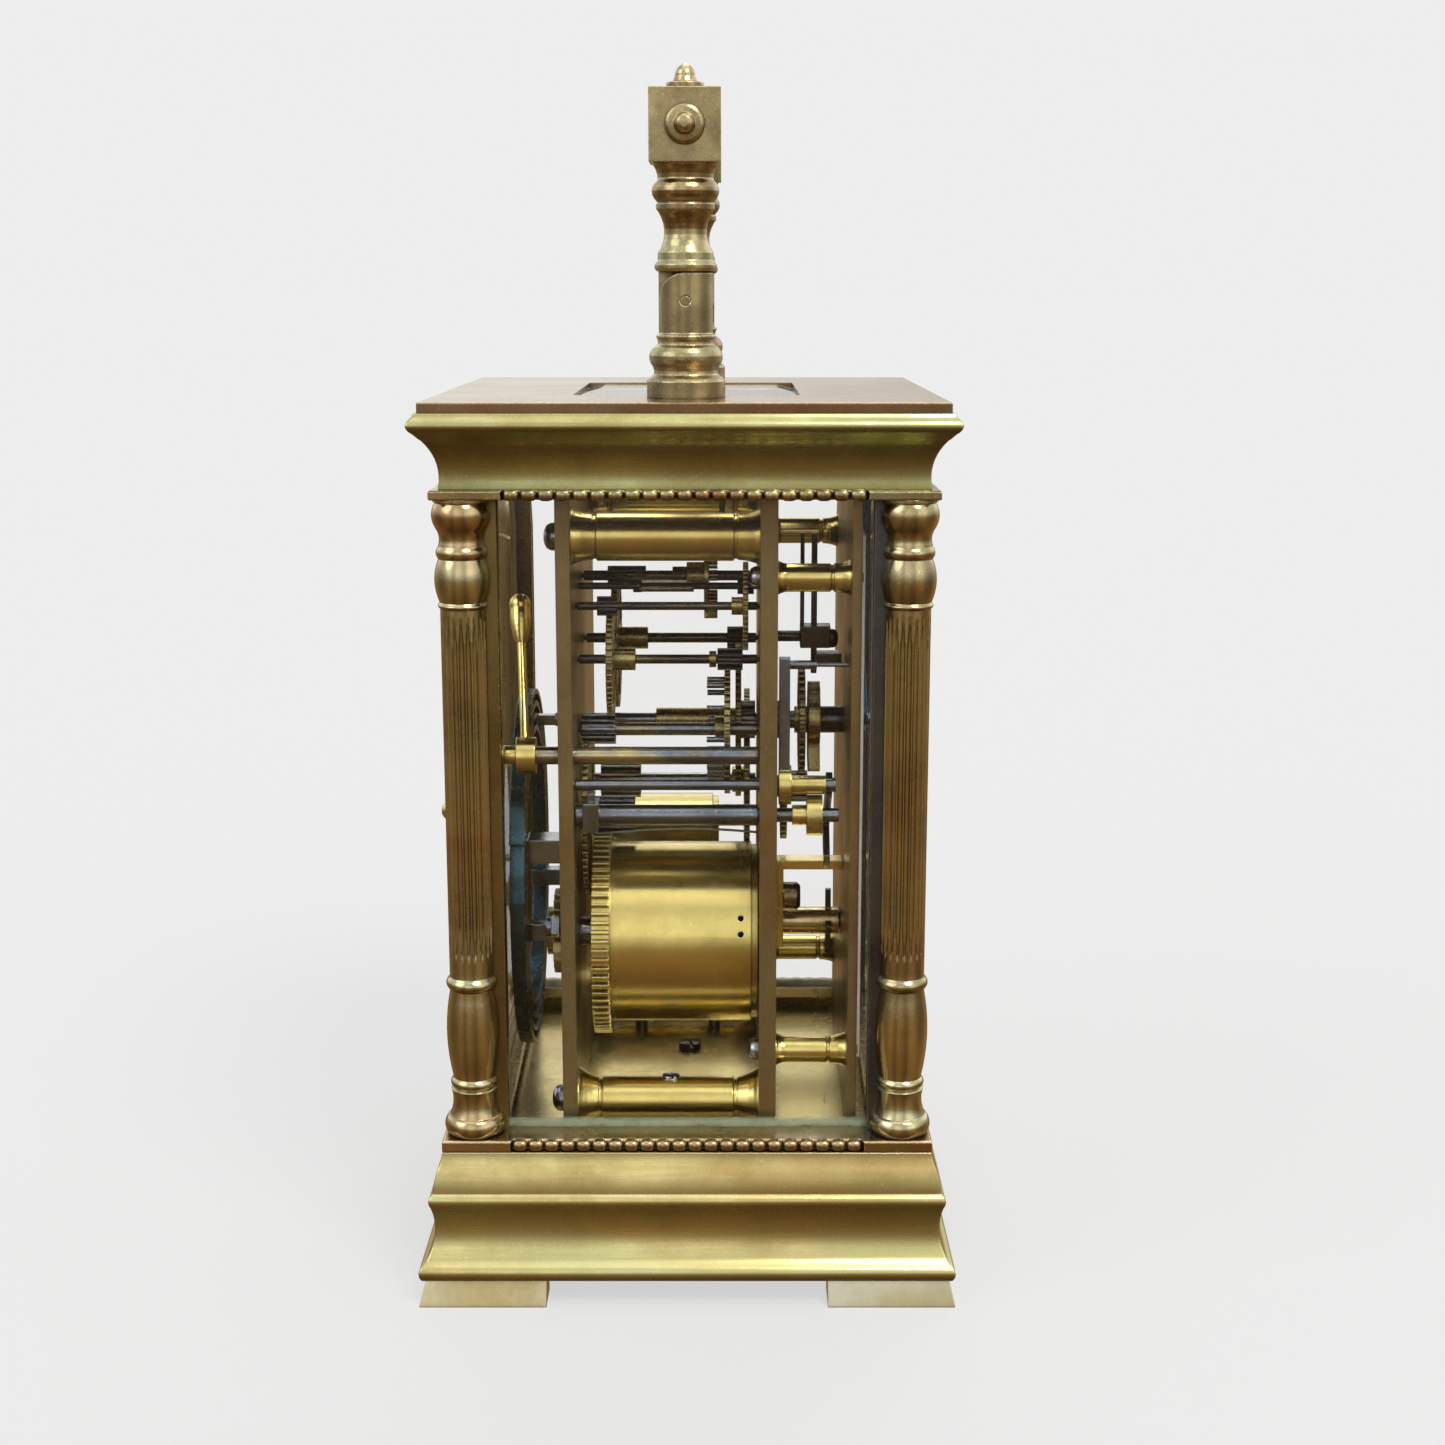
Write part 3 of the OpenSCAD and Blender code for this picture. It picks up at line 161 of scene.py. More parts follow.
def make_floor():
    """Plain pale floor that runs out to the pale backdrop; a gloss sees the room in its place."""
    mesh = bpy.data.meshes.new("floor")
    bm = bmesh.new()
    bmesh.ops.create_circle(bm, cap_ends=True, segments=96, radius=FLOOR_RADIUS)
    bm.to_mesh(mesh)
    bm.free()
    floor = bpy.data.objects.new("floor", mesh)
    bpy.context.scene.collection.objects.link(floor)
    material = bpy.data.materials.new("floor")
    material.use_nodes = True
    tree = material.node_tree
    shader = tree.nodes["Principled BSDF"]
    shader.inputs["Base Color"].default_value = (FLOOR_ALBEDO, FLOOR_ALBEDO, FLOOR_ALBEDO, 1)
    shader.inputs["Roughness"].default_value = 0.9
    shader.inputs["Specular IOR Level"].default_value = 0
    shader.inputs["Emission Color"].default_value = (1, 1, 1, 1)
    shader.inputs["Emission Strength"].default_value = FLOOR_GLOW
    clear = tree.nodes.new("ShaderNodeBsdfTransparent")
    path = tree.nodes.new("ShaderNodeLightPath")
    mix = tree.nodes.new("ShaderNodeMixShader")
    tree.links.new(path.outputs["Glossy Depth"], mix.inputs[0])
    tree.links.new(shader.outputs[0], mix.inputs[1])
    tree.links.new(clear.outputs[0], mix.inputs[2])
    tree.links.new(mix.outputs[0], tree.nodes["Material Output"].inputs["Surface"])
    mesh.materials.append(material)


bpy.context.scene.view_settings.view_transform = "Standard"
make_camera()
make_world()
make_lamps()
make_floor()


# ---------------------------------------------------------------- materials

# Dark brown that creases are darkened towards: grime, together with painted shade from ambient occlusion
GRIME_AND_SHADE = "1d140a"
SPECK_SCALE = 2600
BUMP_DEPTH = 0.02
GROUND_GLASS = "8f9a80"
GLASS_IOR = 1.26
GLASS_TINT = (0.98, 0.996, 0.987, 1)
RIM_FADE = 0.5
ENAMEL, AGED_ENAMEL = "f3f0e6", "e6e1d2"


def tone(code):
    """Linear colour of a six-digit screen colour."""
    parts = [int(code[i:i + 2], 16) / 255 for i in (0, 2, 4)]
    return (*[c / 12.92 if c <= 0.04045 else ((c + 0.055) / 1.055) ** 2.4 for c in parts], 1)


class Graph:
    """Node tree of one material, with short calls for what the finishes share."""

    def __init__(self, name):
        self.material = bpy.data.materials.new(name)
        self.material.use_nodes = True
        self.tree = self.material.node_tree
        self.tree.nodes.clear()
        self.place = self.add("TexCoord").outputs["Object"]

    def fill(self, socket, value):
        """Sets a socket from a number or a colour, or links another output to it."""
        if isinstance(value, bpy.types.NodeSocket):
            self.tree.links.new(value, socket)
        else:
            socket.default_value = value

    def add(self, kind, links=None, **values):
        """A node with its settings, and its inputs filled by name or number."""
        node = self.tree.nodes.new("ShaderNode" + kind)
        for key, value in values.items():
            setattr(node, key, value)
        for key, value in (links or {}).items():
            self.fill(node.inputs[key], value)
        return node

    def noise(self, scale, detail=4.0, rough=0.55, stretch=(1, 1, 1)):
        """Noise between 0 and 1, scale in features per metre, squeezed along an axis by stretch."""
        spread = self.add("Mapping", {"Vector": self.place, "Scale": stretch})
        return self.add("TexNoise", {"Vector": spread.outputs[0], "Scale": scale, "Detail": detail,
                                     "Roughness": rough}).outputs["Fac"]

    def level(self, value, low, high, to_low=0.0, to_high=1.0):
        """Value stretched so that low and high become to_low and to_high."""
        return self.add("MapRange", {"Value": value, "From Min": low, "From Max": high, "To Min": to_low,
                                     "To Max": to_high}).outputs["Result"]

    def blend(self, factor, first, second):
        """Two colours mixed by a factor."""
        node = self.add("Mix", data_type="RGBA")
        for socket, value in zip((node.inputs[0], node.inputs[6], node.inputs[7]), (factor, first, second)):
            self.fill(socket, value)
        return node.outputs[2]

    def maths(self, operation, first, second=0.0):
        """One sum on two values."""
        return self.add("Math", {0: first, 1: second}, operation=operation).outputs[0]

    def finish(self, shader):
        """Joins the shader to the output and returns the material."""
        self.add("OutputMaterial", {"Surface": shader})
        return self.material


class Look:
    """Tones of one metal: body, patina, worn high spots, its roughness, a warm and a cool tarnish."""

    def __init__(self, base, patina, worn, rough, tarnish=None, cool=None):
        self.base, self.patina, self.worn = tone(base), tone(patina), tone(worn)
        self.rough = rough
        self.tarnish = tone(tarnish or patina)
        self.cool = tone(cool or base)


def inside(g, axis, centre, radii, reach):
    """1 inside a ring about an axis ("Y" or "Z") and between two planes, in millimetres, else 0."""
    parts = g.add("SeparateXYZ", {0: g.place}).outputs
    first, second = parts["X"], parts["Z" if axis == "Y" else "Y"]
    across = g.maths("POWER", g.maths("SUBTRACT", first, centre[0] * MM), 2)
    up = g.maths("POWER", g.maths("SUBTRACT", second, centre[1] * MM), 2)
    distance = g.maths("SQRT", g.maths("ADD", across, up))
    tests = []
    for value, (least, most) in ((distance, radii), (parts[axis], reach)):
        tests += [g.maths("GREATER_THAN", value, least * MM), g.maths("LESS_THAN", value, most * MM)]
    found = tests[0]
    for test in tests[1:]:
        found = g.maths("MULTIPLY", found, test)
    return found


def metal(name, look, other=None, zones=(), cloud=90, cover=0.5, wear=0.6, grime_and_shade=0.6, grain=(1, 1, 1),
          grain_scale=900, grain_depth=0.25, round_edge=0.3, nook=2.5, streak=0.2, flow=(1, 1, 1.6)):
    """Old metal: cloudy patina, fine grain or lathe lines, grime and painted shade in the corners, bright
    worn edges.

    Inside the zones the other look shows, as where a steel arbor carries a brass wheel."""
    g = Graph(name)
    base, patina, worn, rough = look.base, look.patina, look.worn, look.rough
    if zones:
        mask = 0.0
        for zone in zones:
            mask = g.maths("MAXIMUM", inside(g, *zone), mask)
        base = g.blend(mask, base, other.base)
        patina = g.blend(mask, patina, other.patina)
        worn = g.blend(mask, worn, other.worn)
        rough = g.level(mask, 0, 1, rough, other.rough)
    clouds = g.noise(cloud, 6, 0.62)
    patches = g.level(clouds, 0.5 - 0.22 * cover, 0.62)
    drift = g.noise(cloud * 0.45, 3, 0.5, flow)
    specks = g.noise(SPECK_SCALE, 3, 0.6)
    lines = g.noise(grain_scale, 5, 0.6, grain)
    bevel = g.add("Bevel", {"Radius": round_edge * MM}, samples=4).outputs[0]
    flat = g.add("NewGeometry").outputs["Normal"]
    turn = g.add("VectorMath", {0: bevel, 1: flat}, operation="DOT_PRODUCT").outputs["Value"]
    crease = g.add("AmbientOcclusion", {"Distance": nook * MM}, samples=6).outputs["AO"]
    edge = g.maths("MULTIPLY", g.level(turn, 0.995, 0.90), g.level(crease, 0.55, 0.85))
    edge = g.maths("MULTIPLY", edge, g.level(specks, 0.35, 0.55, 0.4 * wear, wear))
    # Painted shade with grime: ambient occlusion darkens creases and recesses, and also roughens them
    crease_grime_and_shade = g.maths("MULTIPLY", g.level(crease, 0.75, 0.25), grime_and_shade)
    colour = g.blend(g.maths("MULTIPLY", patches, cover), base, patina)
    colour = g.blend(g.level(drift, 0.52, 0.7, 0, 0.6), colour, look.tarnish)
    colour = g.blend(g.level(drift, 0.47, 0.32, 0, 0.7), colour, look.cool)
    colour = g.blend(g.level(lines, 0.35, 0.7, 0, streak), colour, patina)
    colour = g.blend(g.level(specks, 0.58, 0.75, 0, 0.5 * wear), colour, worn)
    colour = g.blend(edge, colour, worn)
    # Painted shade with grime: creases darkened towards the dark brown tone
    colour = g.blend(crease_grime_and_shade, colour, tone(GRIME_AND_SHADE))
    gloss = g.maths("MULTIPLY", g.level(clouds, 0.3, 0.7, 0.8, 1.3), rough)
    gloss = g.maths("ADD", gloss, g.level(lines, 0.3, 0.7, -0.04, 0.05))
    gloss = g.maths("ADD", gloss, g.maths("MULTIPLY", crease_grime_and_shade, 0.25))
    height = g.maths("ADD", g.maths("MULTIPLY", lines, grain_depth), g.maths("MULTIPLY", specks, 0.25))
    bump = g.add("Bump", {"Height": height, "Normal": bevel, "Distance": BUMP_DEPTH * MM, "Strength": 0.6})
    shader = g.add("BsdfPrincipled", {"Base Color": colour, "Roughness": gloss, "Normal": bump.outputs[0],
                                      "Metallic": 1.0})
    return g.finish(shader.outputs[0])


def brushed(name, look):
    """Drawn brass moulding with long faint lines and tarnish that runs along it."""
    return metal(name, look, cloud=70, cover=0.65, grain=(0.12, 0.12, 3), grain_scale=700, streak=0.22,
                 flow=(0.4, 0.4, 2.4))


def glass(name, rim_top=None):
    """Clear glass that lets the lamps through; below rim_top, in millimetres, it is pale and ground."""
    g = Graph(name)
    film = g.blend(g.level(g.noise(45, 3), 0.45, 0.75), (1, 1, 1, 1), GLASS_TINT)
    body = g.add("BsdfPrincipled", {"Base Color": film, "Roughness": 0.0, "IOR": GLASS_IOR,
                                    "Transmission Weight": 1.0})
    if rim_top:
        height = g.add("SeparateXYZ", {0: g.place}).outputs["Z"]
        ground = g.add("BsdfPrincipled", {"Base Color": tone(GROUND_GLASS), "Roughness": 0.3})
        below = g.level(height, rim_top * MM, (rim_top - RIM_FADE) * MM)
        chips = g.level(g.noise(300, 3), 0.3, 0.6, 0.45, 0.85)
        rim = g.maths("MULTIPLY", below, chips)
        body = g.add("MixShader", {0: rim, 1: body.outputs[0], 2: ground.outputs[0]})
    clear = g.add("BsdfTransparent", {"Color": GLASS_TINT})
    shadow = g.add("LightPath").outputs["Is Shadow Ray"]
    mix = g.add("MixShader", {0: shadow, 1: body.outputs[0], 2: clear.outputs[0]})
    return g.finish(mix.outputs[0])


def enamel(name):
    """Fired white enamel with faint cloudiness."""
    g = Graph(name)
    clouds = g.noise(140, 5)
    colour = g.blend(g.level(clouds, 0.35, 0.7), tone(ENAMEL), tone(AGED_ENAMEL))
    rough = g.level(clouds, 0.3, 0.7, 0.12, 0.2)
    shader = g.add("BsdfPrincipled", {"Base Color": colour, "Roughness": rough, "Coat Weight": 0.4})
    return g.finish(shader.outputs[0])


# Each metal: body, patina, worn high spots, roughness, warm tarnish, cool tarnish
MOULDED = Look("d2c48a", "968850", "f6ebc6", 0.28, "b88648", "c4c894")
CORNICE = Look("c0c08c", "867e4c", "f0ecc8", 0.28, "a4824c", "a6bc92")
PALE_BRASS = Look("f4efd2", "bcae7c", "fdfbf0", 0.3, "d8ba78", "eef4e8")
COPPER = Look("bba680", "84704c", "fbedc4", 0.22, "a4693c", "a8a07e")
COLUMN = Look("c4b68e", "7e7050", "fbecc0", 0.18, "a46a40", "aeae8e")
TOP = Look("a98e6e", "6c543e", "e6cfa4", 0.17, "7c4a30", "b4aa96")
HANDLE = Look("b9aa80", "6a5840", "f8edc4", 0.23, "8e6238", "a9a880")
PLATE = Look("b09e74", "80683e", "e8d8a4", 0.33, "a0703e")
POLISHED = Look("d8c67e", "a89250", "f6ecc0", 0.19)
WHEEL = Look("a09468", "6a5c3a", "efe4b4", 0.25)
BASE = Look("c4b474", "9c8650", "e6d496", 0.2, "ac8850")
POSTS = Look("8c7d54", "584c30", "c8b884", 0.28)
STEEL = Look("7d838d", "4a4f59", "dfe5ec", 0.17)
DARK = Look("4c4a4e", "2a2829", "a4a4a6", 0.22)
SLATE = Look("6c727c", "3c4048", "b6bcc4", 0.22)
BLUED = Look("2f5f74", "142a38", "6fa9bf", 0.17)
TEMPERED = Look("3a5560", "1e2e36", "7c98a2", 0.24)
BRIGHT = Look("a4aab2", "6c727c", "eef2f6", 0.16)
FIRED = Look("2c2a2a", "1c1a1a", "4a4644", 0.35)

# Finishes by the name that the CAD gives them
FINISH = {
    "moulded_brass": brushed("moulded_brass", MOULDED),
    "copper_patina": metal("copper_patina", COPPER, cloud=70, cover=0.6, wear=0.7, nook=1.1, streak=0.08,
                           grain_depth=0.06),
    "handle_brass": metal("handle_brass", HANDLE, cloud=110, cover=0.75, wear=0.8, grime_and_shade=0.9, nook=1.6),
    "plate_brass": metal("plate_brass", PLATE, cloud=60, grain=(1, 8, 0.3), grain_scale=700),
    "polished_brass": metal("polished_brass", POLISHED, cloud=80, cover=0.4, grain=(0.3, 9, 0.3), streak=0.14,
                            grain_depth=0.15),
    "wheel_brass": metal("wheel_brass", WHEEL, cloud=120),
    "grey_steel": metal("grey_steel", STEEL, cloud=150),
    "dark_steel": metal("dark_steel", DARK, cloud=150, cover=0.6),
    "blued_steel": metal("blued_steel", BLUED, wear=0.15),
    "clear_glass": glass("clear_glass"),
    "enamel": enamel("enamel"),
}

# Nodes with a finish of their own
OWN_FINISH = {
    "bracket_feet": metal("feet_brass", PALE_BRASS, cloud=55, cover=0.8),
    "gong": metal("gong_steel", TEMPERED, cover=0.3, wear=0.2, grime_and_shade=0.4),
    "base_plate": metal("floor_brass", BASE, cloud=50, cover=0.6),
    "top_plate": metal("top_brass", TOP, cloud=60, cover=0.6, grain=(1, 3, 1), grain_scale=500),
    "door_frame": metal("door_brass", PLATE, cloud=80, cover=0.6),
    "handle_pins": metal("pin_brass", HANDLE, cloud=200, cover=0.6, grime_and_shade=0.9),
}

# Finishes of single pieces
COLUMN_METAL = metal("column_bronze", COLUMN, cloud=60, cover=0.6, wear=0.7, grime_and_shade=1.0, nook=1.1, streak=0.0,
                     grain_depth=0.03, round_edge=0.1)
CORNICE_METAL = brushed("cornice_brass", CORNICE)
POST_METAL = metal("post_bronze", POSTS)
SLATE_METAL = metal("post_slate", SLATE)
SCREW_METAL = metal("screw_steel", BRIGHT, cloud=150)
MARKS = metal("fired_black", FIRED, cloud=200, wear=0.1, round_edge=0.05)


# ---------------------------------------------------------------- CAD nodes

# Centres of round parts in the plane of the plates, the platform's top and the balance's place in depth
DIAL_CENTRE = (0, 90.7)
ALARM_CENTRE = (0, 53.1)
RACK_CENTRE = (-33, 86.4)
NUT_CENTRE = (-10, 60.6)
DECK = span("platform")[1].z
BALANCE_Y = (span("balance_wheel")[0].y + span("balance_wheel")[1].y) / 2
ALL = (-1000, 1000)

# Nodes of two metals on one arbor: main look, other look, then (radii, reach along Y) of the other
MIXED_WHEELS = {
    "contrate_wheel": (WHEEL, DARK, [((0, 1.95), (0.5, 30)), ((0, 1.0), (-30, -2.7))]),
    "third_wheel": (WHEEL, DARK, [((0, 2.2), (-30, 7.5)), ((0, 0.95), (7.5, 30))]),
    "centre_wheel": (WHEEL, STEEL, [((0, 3.8), (-30, -9.15))]),
    "intermediate_wheel": (WHEEL, STEEL, [((0, 3.8), (8, 30)), ((0, 1.3), (-30, 8))]),
    "strike_second_wheel": (WHEEL, STEEL, [((0, 3.8), (8, 16.8)), ((0, 1.35), ALL)]),
    "pin_wheel": (WHEEL, STEEL, [((0, 2.9), (8, 30)), ((0, 1.15), ALL), ((6, 20), (-6.15, -3))]),
    "locking_wheel": (WHEEL, DARK, [((0, 2.1), (-30, -4.9)), ((0, 0.85), ALL)]),
    "warning_wheel": (WHEEL, DARK, [((0, 1.8), (9, 30)), ((0, 0.75), ALL)]),
    "minute_wheel": (WHEEL, STEEL, [((0, 3.2), (-30, -17.25))]),
    "going_winding_arbor": (STEEL, WHEEL, [((0, 9), (21.75, 24.65))]),
    "strike_winding_arbor": (STEEL, WHEEL, [((0, 9), (21.75, 24.65))]),
}

# Other nodes of two metals: main look, other look, then (axis, centre, radii, reach) of the other
MIXED_PARTS = {
    "hammer": (POLISHED, STEEL, [("Y", (0, 0), ALL, (-30, 25.15))]),
    "lifting_lever": (STEEL, POLISHED, [("Y", (0, 0), ALL, (-22.65, -17.55))]),
    "strike_rack": (STEEL, POLISHED, [("Y", RACK_CENTRE, (0, 3.35), (-17.45, -15.25)),
                                      ("Y", RACK_CENTRE, (1.25, 1.7), (-23.15, -17.4))]),
    "dial_bracket": (POLISHED, DARK, [("Y", NUT_CENTRE, (0, 2.6), (-20, -16.62))]),
    "alarm_hand": (DARK, COPPER, [("Y", ALARM_CENTRE, (1.55, 2.6), (-26.9, -16))]),
    "hour_wheel": (WHEEL, DARK, [("Y", DIAL_CENTRE, (0, 2.5), (-29, -23.12))]),
    "escape_wheel": (WHEEL, STEEL, [("Z", (0, 0), ALL, (0, DECK + 0.4))]),
    "balance_wheel": (POLISHED, STEEL, [("Z", (0, BALANCE_Y), (0, 1.7), ALL)]),
}


def dress_nodes():
    """Gives every CAD node its finish."""
    for node in NODES.values():
        for part in node.material_slots:
            part.material = FINISH[part.material.name.split(".")[0]]
    for name, finish in OWN_FINISH.items():
        NODES[name].material_slots[0].material = finish
    mixed = dict(MIXED_PARTS)
    for name, (look, other, rings) in MIXED_WHEELS.items():
        mixed[name] = (look, other, [("Y", middle(name), radii, reach) for radii, reach in rings])
    for name, (look, other, zones) in mixed.items():
        NODES[name].material_slots[0].material = metal(name + "_metals", look, other, zones, cloud=120)


dress_nodes()


# ---------------------------------------------------------------- shapes

# POLE is the radius of the small flat at the end of a turned solid
POLE = 0.05
BALL_RINGS, BALL_SEGMENTS = 10, 20
BALL_PLUMP = 0.72
MITRE_ROUND = 0.3
PANE_BEVEL, PANE_DROP = 4.5, 0.8
SCREW_SEGMENTS, SCREW_ARC_STEPS = 28, 12
CORNERS = ((1, 1), (-1, 1), (-1, -1), (1, -1))

# Edges that turn by more than this, in degrees, stay sharp: on plain pieces and on turned ones
PLAIN_ANGLE, TURNED_ANGLE = 32, 40

# Crowns of screw heads: (share of the radius, share of the height) from the rim to the top
FLAT = ((1, 0.5), (1, 0.85), (0.86, 1))
DOMED = ((1, 0.3), (0.96, 0.55), (0.8, 0.8), (0.5, 0.95), (0.3, 1))


def outline(*stops, steps=9):
    """Points of a profile: (x, y) goes straight there, (x, y, sag) swells out or hollows on the way."""
    points = []
    for stop in stops:
        if len(stop) == 2:
            points.append(stop)
            continue
        (ax, ay), (bx, by, sag) = points[-1], stop
        length = math.hypot(bx - ax, by - ay)
        for i in range(1, steps + 1):
            t = i / steps
            bulge = sag * 4 * t * (1 - t) / length
            points.append((ax + (bx - ax) * t + (by - ay) * bulge, ay + (by - ay) * t - (bx - ax) * bulge))
    return points


def circle(radius, segments):
    """Points evenly spaced round a circle about the origin."""
    turns = [2 * math.pi * i / segments for i in range(segments)]
    return [(radius * math.cos(turn), radius * math.sin(turn)) for turn in turns]


def strip(rings, closed=False, capped=False):
    """Vertices and faces of a skin over rings of points; closed joins the last ring to the first."""
    count = len(rings[0])
    verts = [point for ring in rings for point in ring]
    faces = []
    for i in range(len(rings) if closed else len(rings) - 1):
        low, high = i * count, (i + 1) % len(rings) * count
        for k in range(count):
            after = (k + 1) % count
            faces.append((low + k, low + after, high + after, high + k))
    if capped:
        faces.append(tuple(range(count - 1, -1, -1)))
        faces.append(tuple(range(len(verts) - count, len(verts))))
    return verts, faces


def stand(place, axis, a, b, along):
    """Point at (a, b) across an axis through place and some way along it."""
    x, y, z = {"Z": (a, b, along), "Y": (a, along, b), "-Y": (a, -along, b)}[axis]
    return place[0] + x, place[1] + y, place[2] + z


def turned(points, place, axis, segments):
    """Turned solid from an outline of (radius, distance) along an axis through place."""
    rings = []
    for radius, along in points:
        rings.append([stand(place, axis, a, b, along) for a, b in circle(radius, segments)])
    return strip(rings, capped=True)


def prism(points, low, high):
    """Upright solid from an outline of (x, y)."""
    return strip([[(x, y, z) for x, y in points] for z in (low, high)], capped=True)


def plate_y(points, back, front):
    """Solid from an outline of (x, z), between two planes along Y."""
    return strip([[(x, y, z) for x, z in points] for y in (back, front)], capped=True)


def box(low, high):
    """Closed box between two corners."""
    corners = [(low[0], low[1]), (high[0], low[1]), (high[0], high[1]), (low[0], high[1])]
    return prism(corners, low[2], high[2])


def ring_y(centre, inner, outer, back, front, segments=120):
    """Flat ring facing the front."""
    rings = []
    for radius, y in ((inner, back), (outer, back), (outer, front), (inner, front)):
        rings.append([(centre[0] + x, y, centre[1] + z) for x, z in circle(radius, segments)])
    return strip(rings, closed=True)


def mitred(profile):
    """Hollow moulding from a closed profile of (half width, half depth, z), its corners slightly rounded."""
    rings = []
    for half_x, half_y, z in profile:
        ring = []
        for quarter, (side_x, side_y) in enumerate(CORNERS):
            for step in range(4):
                turn = quarter * math.pi / 2 + step * math.pi / 6
                ring.append((side_x * (half_x - MITRE_ROUND) + MITRE_ROUND * math.cos(turn),
                             side_y * (half_y - MITRE_ROUND) + MITRE_ROUND * math.sin(turn), z))
        rings.append(ring)
    return strip(rings, closed=True)


def plump(value):
    """Sine or cosine pushed away from 0, which swells a ball towards a block."""
    return math.copysign(abs(value) ** BALL_PLUMP, value)


def ball(place, size):
    """Plump ellipsoid with half sizes size about place."""
    rings = []
    for i in range(BALL_RINGS + 1):
        lift = -math.pi / 2 + math.pi * (i + 0.02) / (BALL_RINGS + 0.04)
        wide, up = plump(math.cos(lift)), plump(math.sin(lift))
        rings.append([(place[0] + size[0] * wide * plump(x), place[1] + size[1] * wide * plump(y),
                       place[2] + size[2] * up) for x, y in circle(1, BALL_SEGMENTS)])
    return strip(rings, capped=True)


def tube(path, radius, sides):
    """Round wire along a path."""
    rings = []
    points = [Vector(p) for p in path]
    side = None
    for i, point in enumerate(points):
        ahead = (points[min(i + 1, len(points) - 1)] - points[max(i - 1, 0)]).normalized()
        if side is None:
            side = ahead.orthogonal().normalized()
        side = (side - ahead * side.dot(ahead)).normalized()
        other = ahead.cross(side)
        rings.append([tuple(point + a * side + b * other) for a, b in circle(radius, sides)])
    return strip(rings, capped=True)


def pane(low, high, axis, side, bevel=PANE_BEVEL, drop=PANE_DROP):
    """Glass pane whose face towards side (+1 or -1) of an axis has a wide ground bevel round its edge."""
    others = [i for i in range(3) if i != axis]
    face, back = (high[axis], low[axis]) if side > 0 else (low[axis], high[axis])
    rings = []
    for depth, inset in ((back, 0), (face - side * drop, 0), (face, bevel)):
        ring = []
        for corner in CORNERS:
            point = [0, 0, 0]
            point[axis] = depth
            for i, end in zip(others, corner):
                point[i] = high[i] - inset if end > 0 else low[i] + inset
            ring.append(tuple(point))
        rings.append(ring)
    return strip(rings, capped=True)


def screw(place, axis, radius, tall, slot, slot_turn=0.4, crown=FLAT):
    """Slotted screw head standing on place along an axis: a disc with two raised halves."""
    disc = [(POLE, 0), (radius, 0), (radius, tall * 0.4), (radius * 0.85, tall * 0.5), (POLE, tall * 0.5)]
    parts = [turned(disc, place, axis, SCREW_SEGMENTS)]
    edge = math.asin(slot / 2 / radius)
    arc = [edge + (math.pi - 2 * edge) * i / SCREW_ARC_STEPS for i in range(SCREW_ARC_STEPS + 1)]
    for spin in (slot_turn, slot_turn + math.pi):
        rings = []
        for wide, up in crown:
            ring = []
            for angle in arc:
                a = radius * wide * math.cos(angle)
                b = max(radius * wide * math.sin(angle), slot / 2)
                ring.append(stand(place, axis, a * math.cos(spin) - b * math.sin(spin),
                                  a * math.sin(spin) + b * math.cos(spin), tall * up))
            rings.append(ring)
        parts.append(strip(rings, capped=True))
    return parts


def piece(name, parts, body, slot, finish=None, replaces=(), sharp=PLAIN_ANGLE, bevel=0.0):
    """One object from several skins, riding on a body and finished as a slot."""
    verts, faces = [], []
    for part_verts, part_faces in parts:
        first = len(verts)
        verts += [[c * MM for c in v] for v in part_verts]
        faces += [[i + first for i in face] for face in part_faces]
    mesh = bpy.data.meshes.new(name)
    mesh.from_pydata(verts, [], faces)
    bm = bmesh.new()
    bm.from_mesh(mesh)
    bmesh.ops.recalc_face_normals(bm, faces=bm.faces)
    bm.to_mesh(mesh)
    bm.free()
    mesh.shade_smooth()
    mesh.set_sharp_from_angle(angle=math.radians(sharp))
    mesh.materials.append(finish or FINISH[slot])
    obj = bpy.data.objects.new(name, mesh)
    bpy.context.scene.collection.objects.link(obj)
    if bevel:
        edge = obj.modifiers.new("edge", "BEVEL")
        edge.width = bevel * MM
        edge.segments = 2
        edge.limit_method = "ANGLE"
    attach(obj, body)
    if replaces:
        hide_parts(*replaces)


# ---------------------------------------------------------------- columns and glass posts

# The shaft runs from SHAFT_LOW above the column's foot to SHAFT_HIGH below its top
COLUMN_RADIUS, COLUMN_INSET = 4.5, 0.6
SHAFT_RADIUS = 3.68
SHAFT_LOW, SHAFT_HIGH = 28.9, 17.8
FLUTES = 20

# Across a flute the steps and the half width are shares of the pitch; the rest is in millimetres
FLUTE_STEPS = (-0.5, -0.44, -0.36, -0.24, -0.08, 0.08, 0.24, 0.36, 0.44)
FLUTE_HALF, FLUTE_DEPTH = 0.44, 0.55
FLUTE_LOW, FLUTE_HIGH = 30.3, 89.0
FLUTE_TIP, FLUTE_TIP_ROWS = 6.5, 10

# Panes and the slots of the posts that hold them
GLASS_T = 2.0
SLOT_FIT, SLOT_DEPTH = 0.05, 2.0
POST_WALL = 2.75


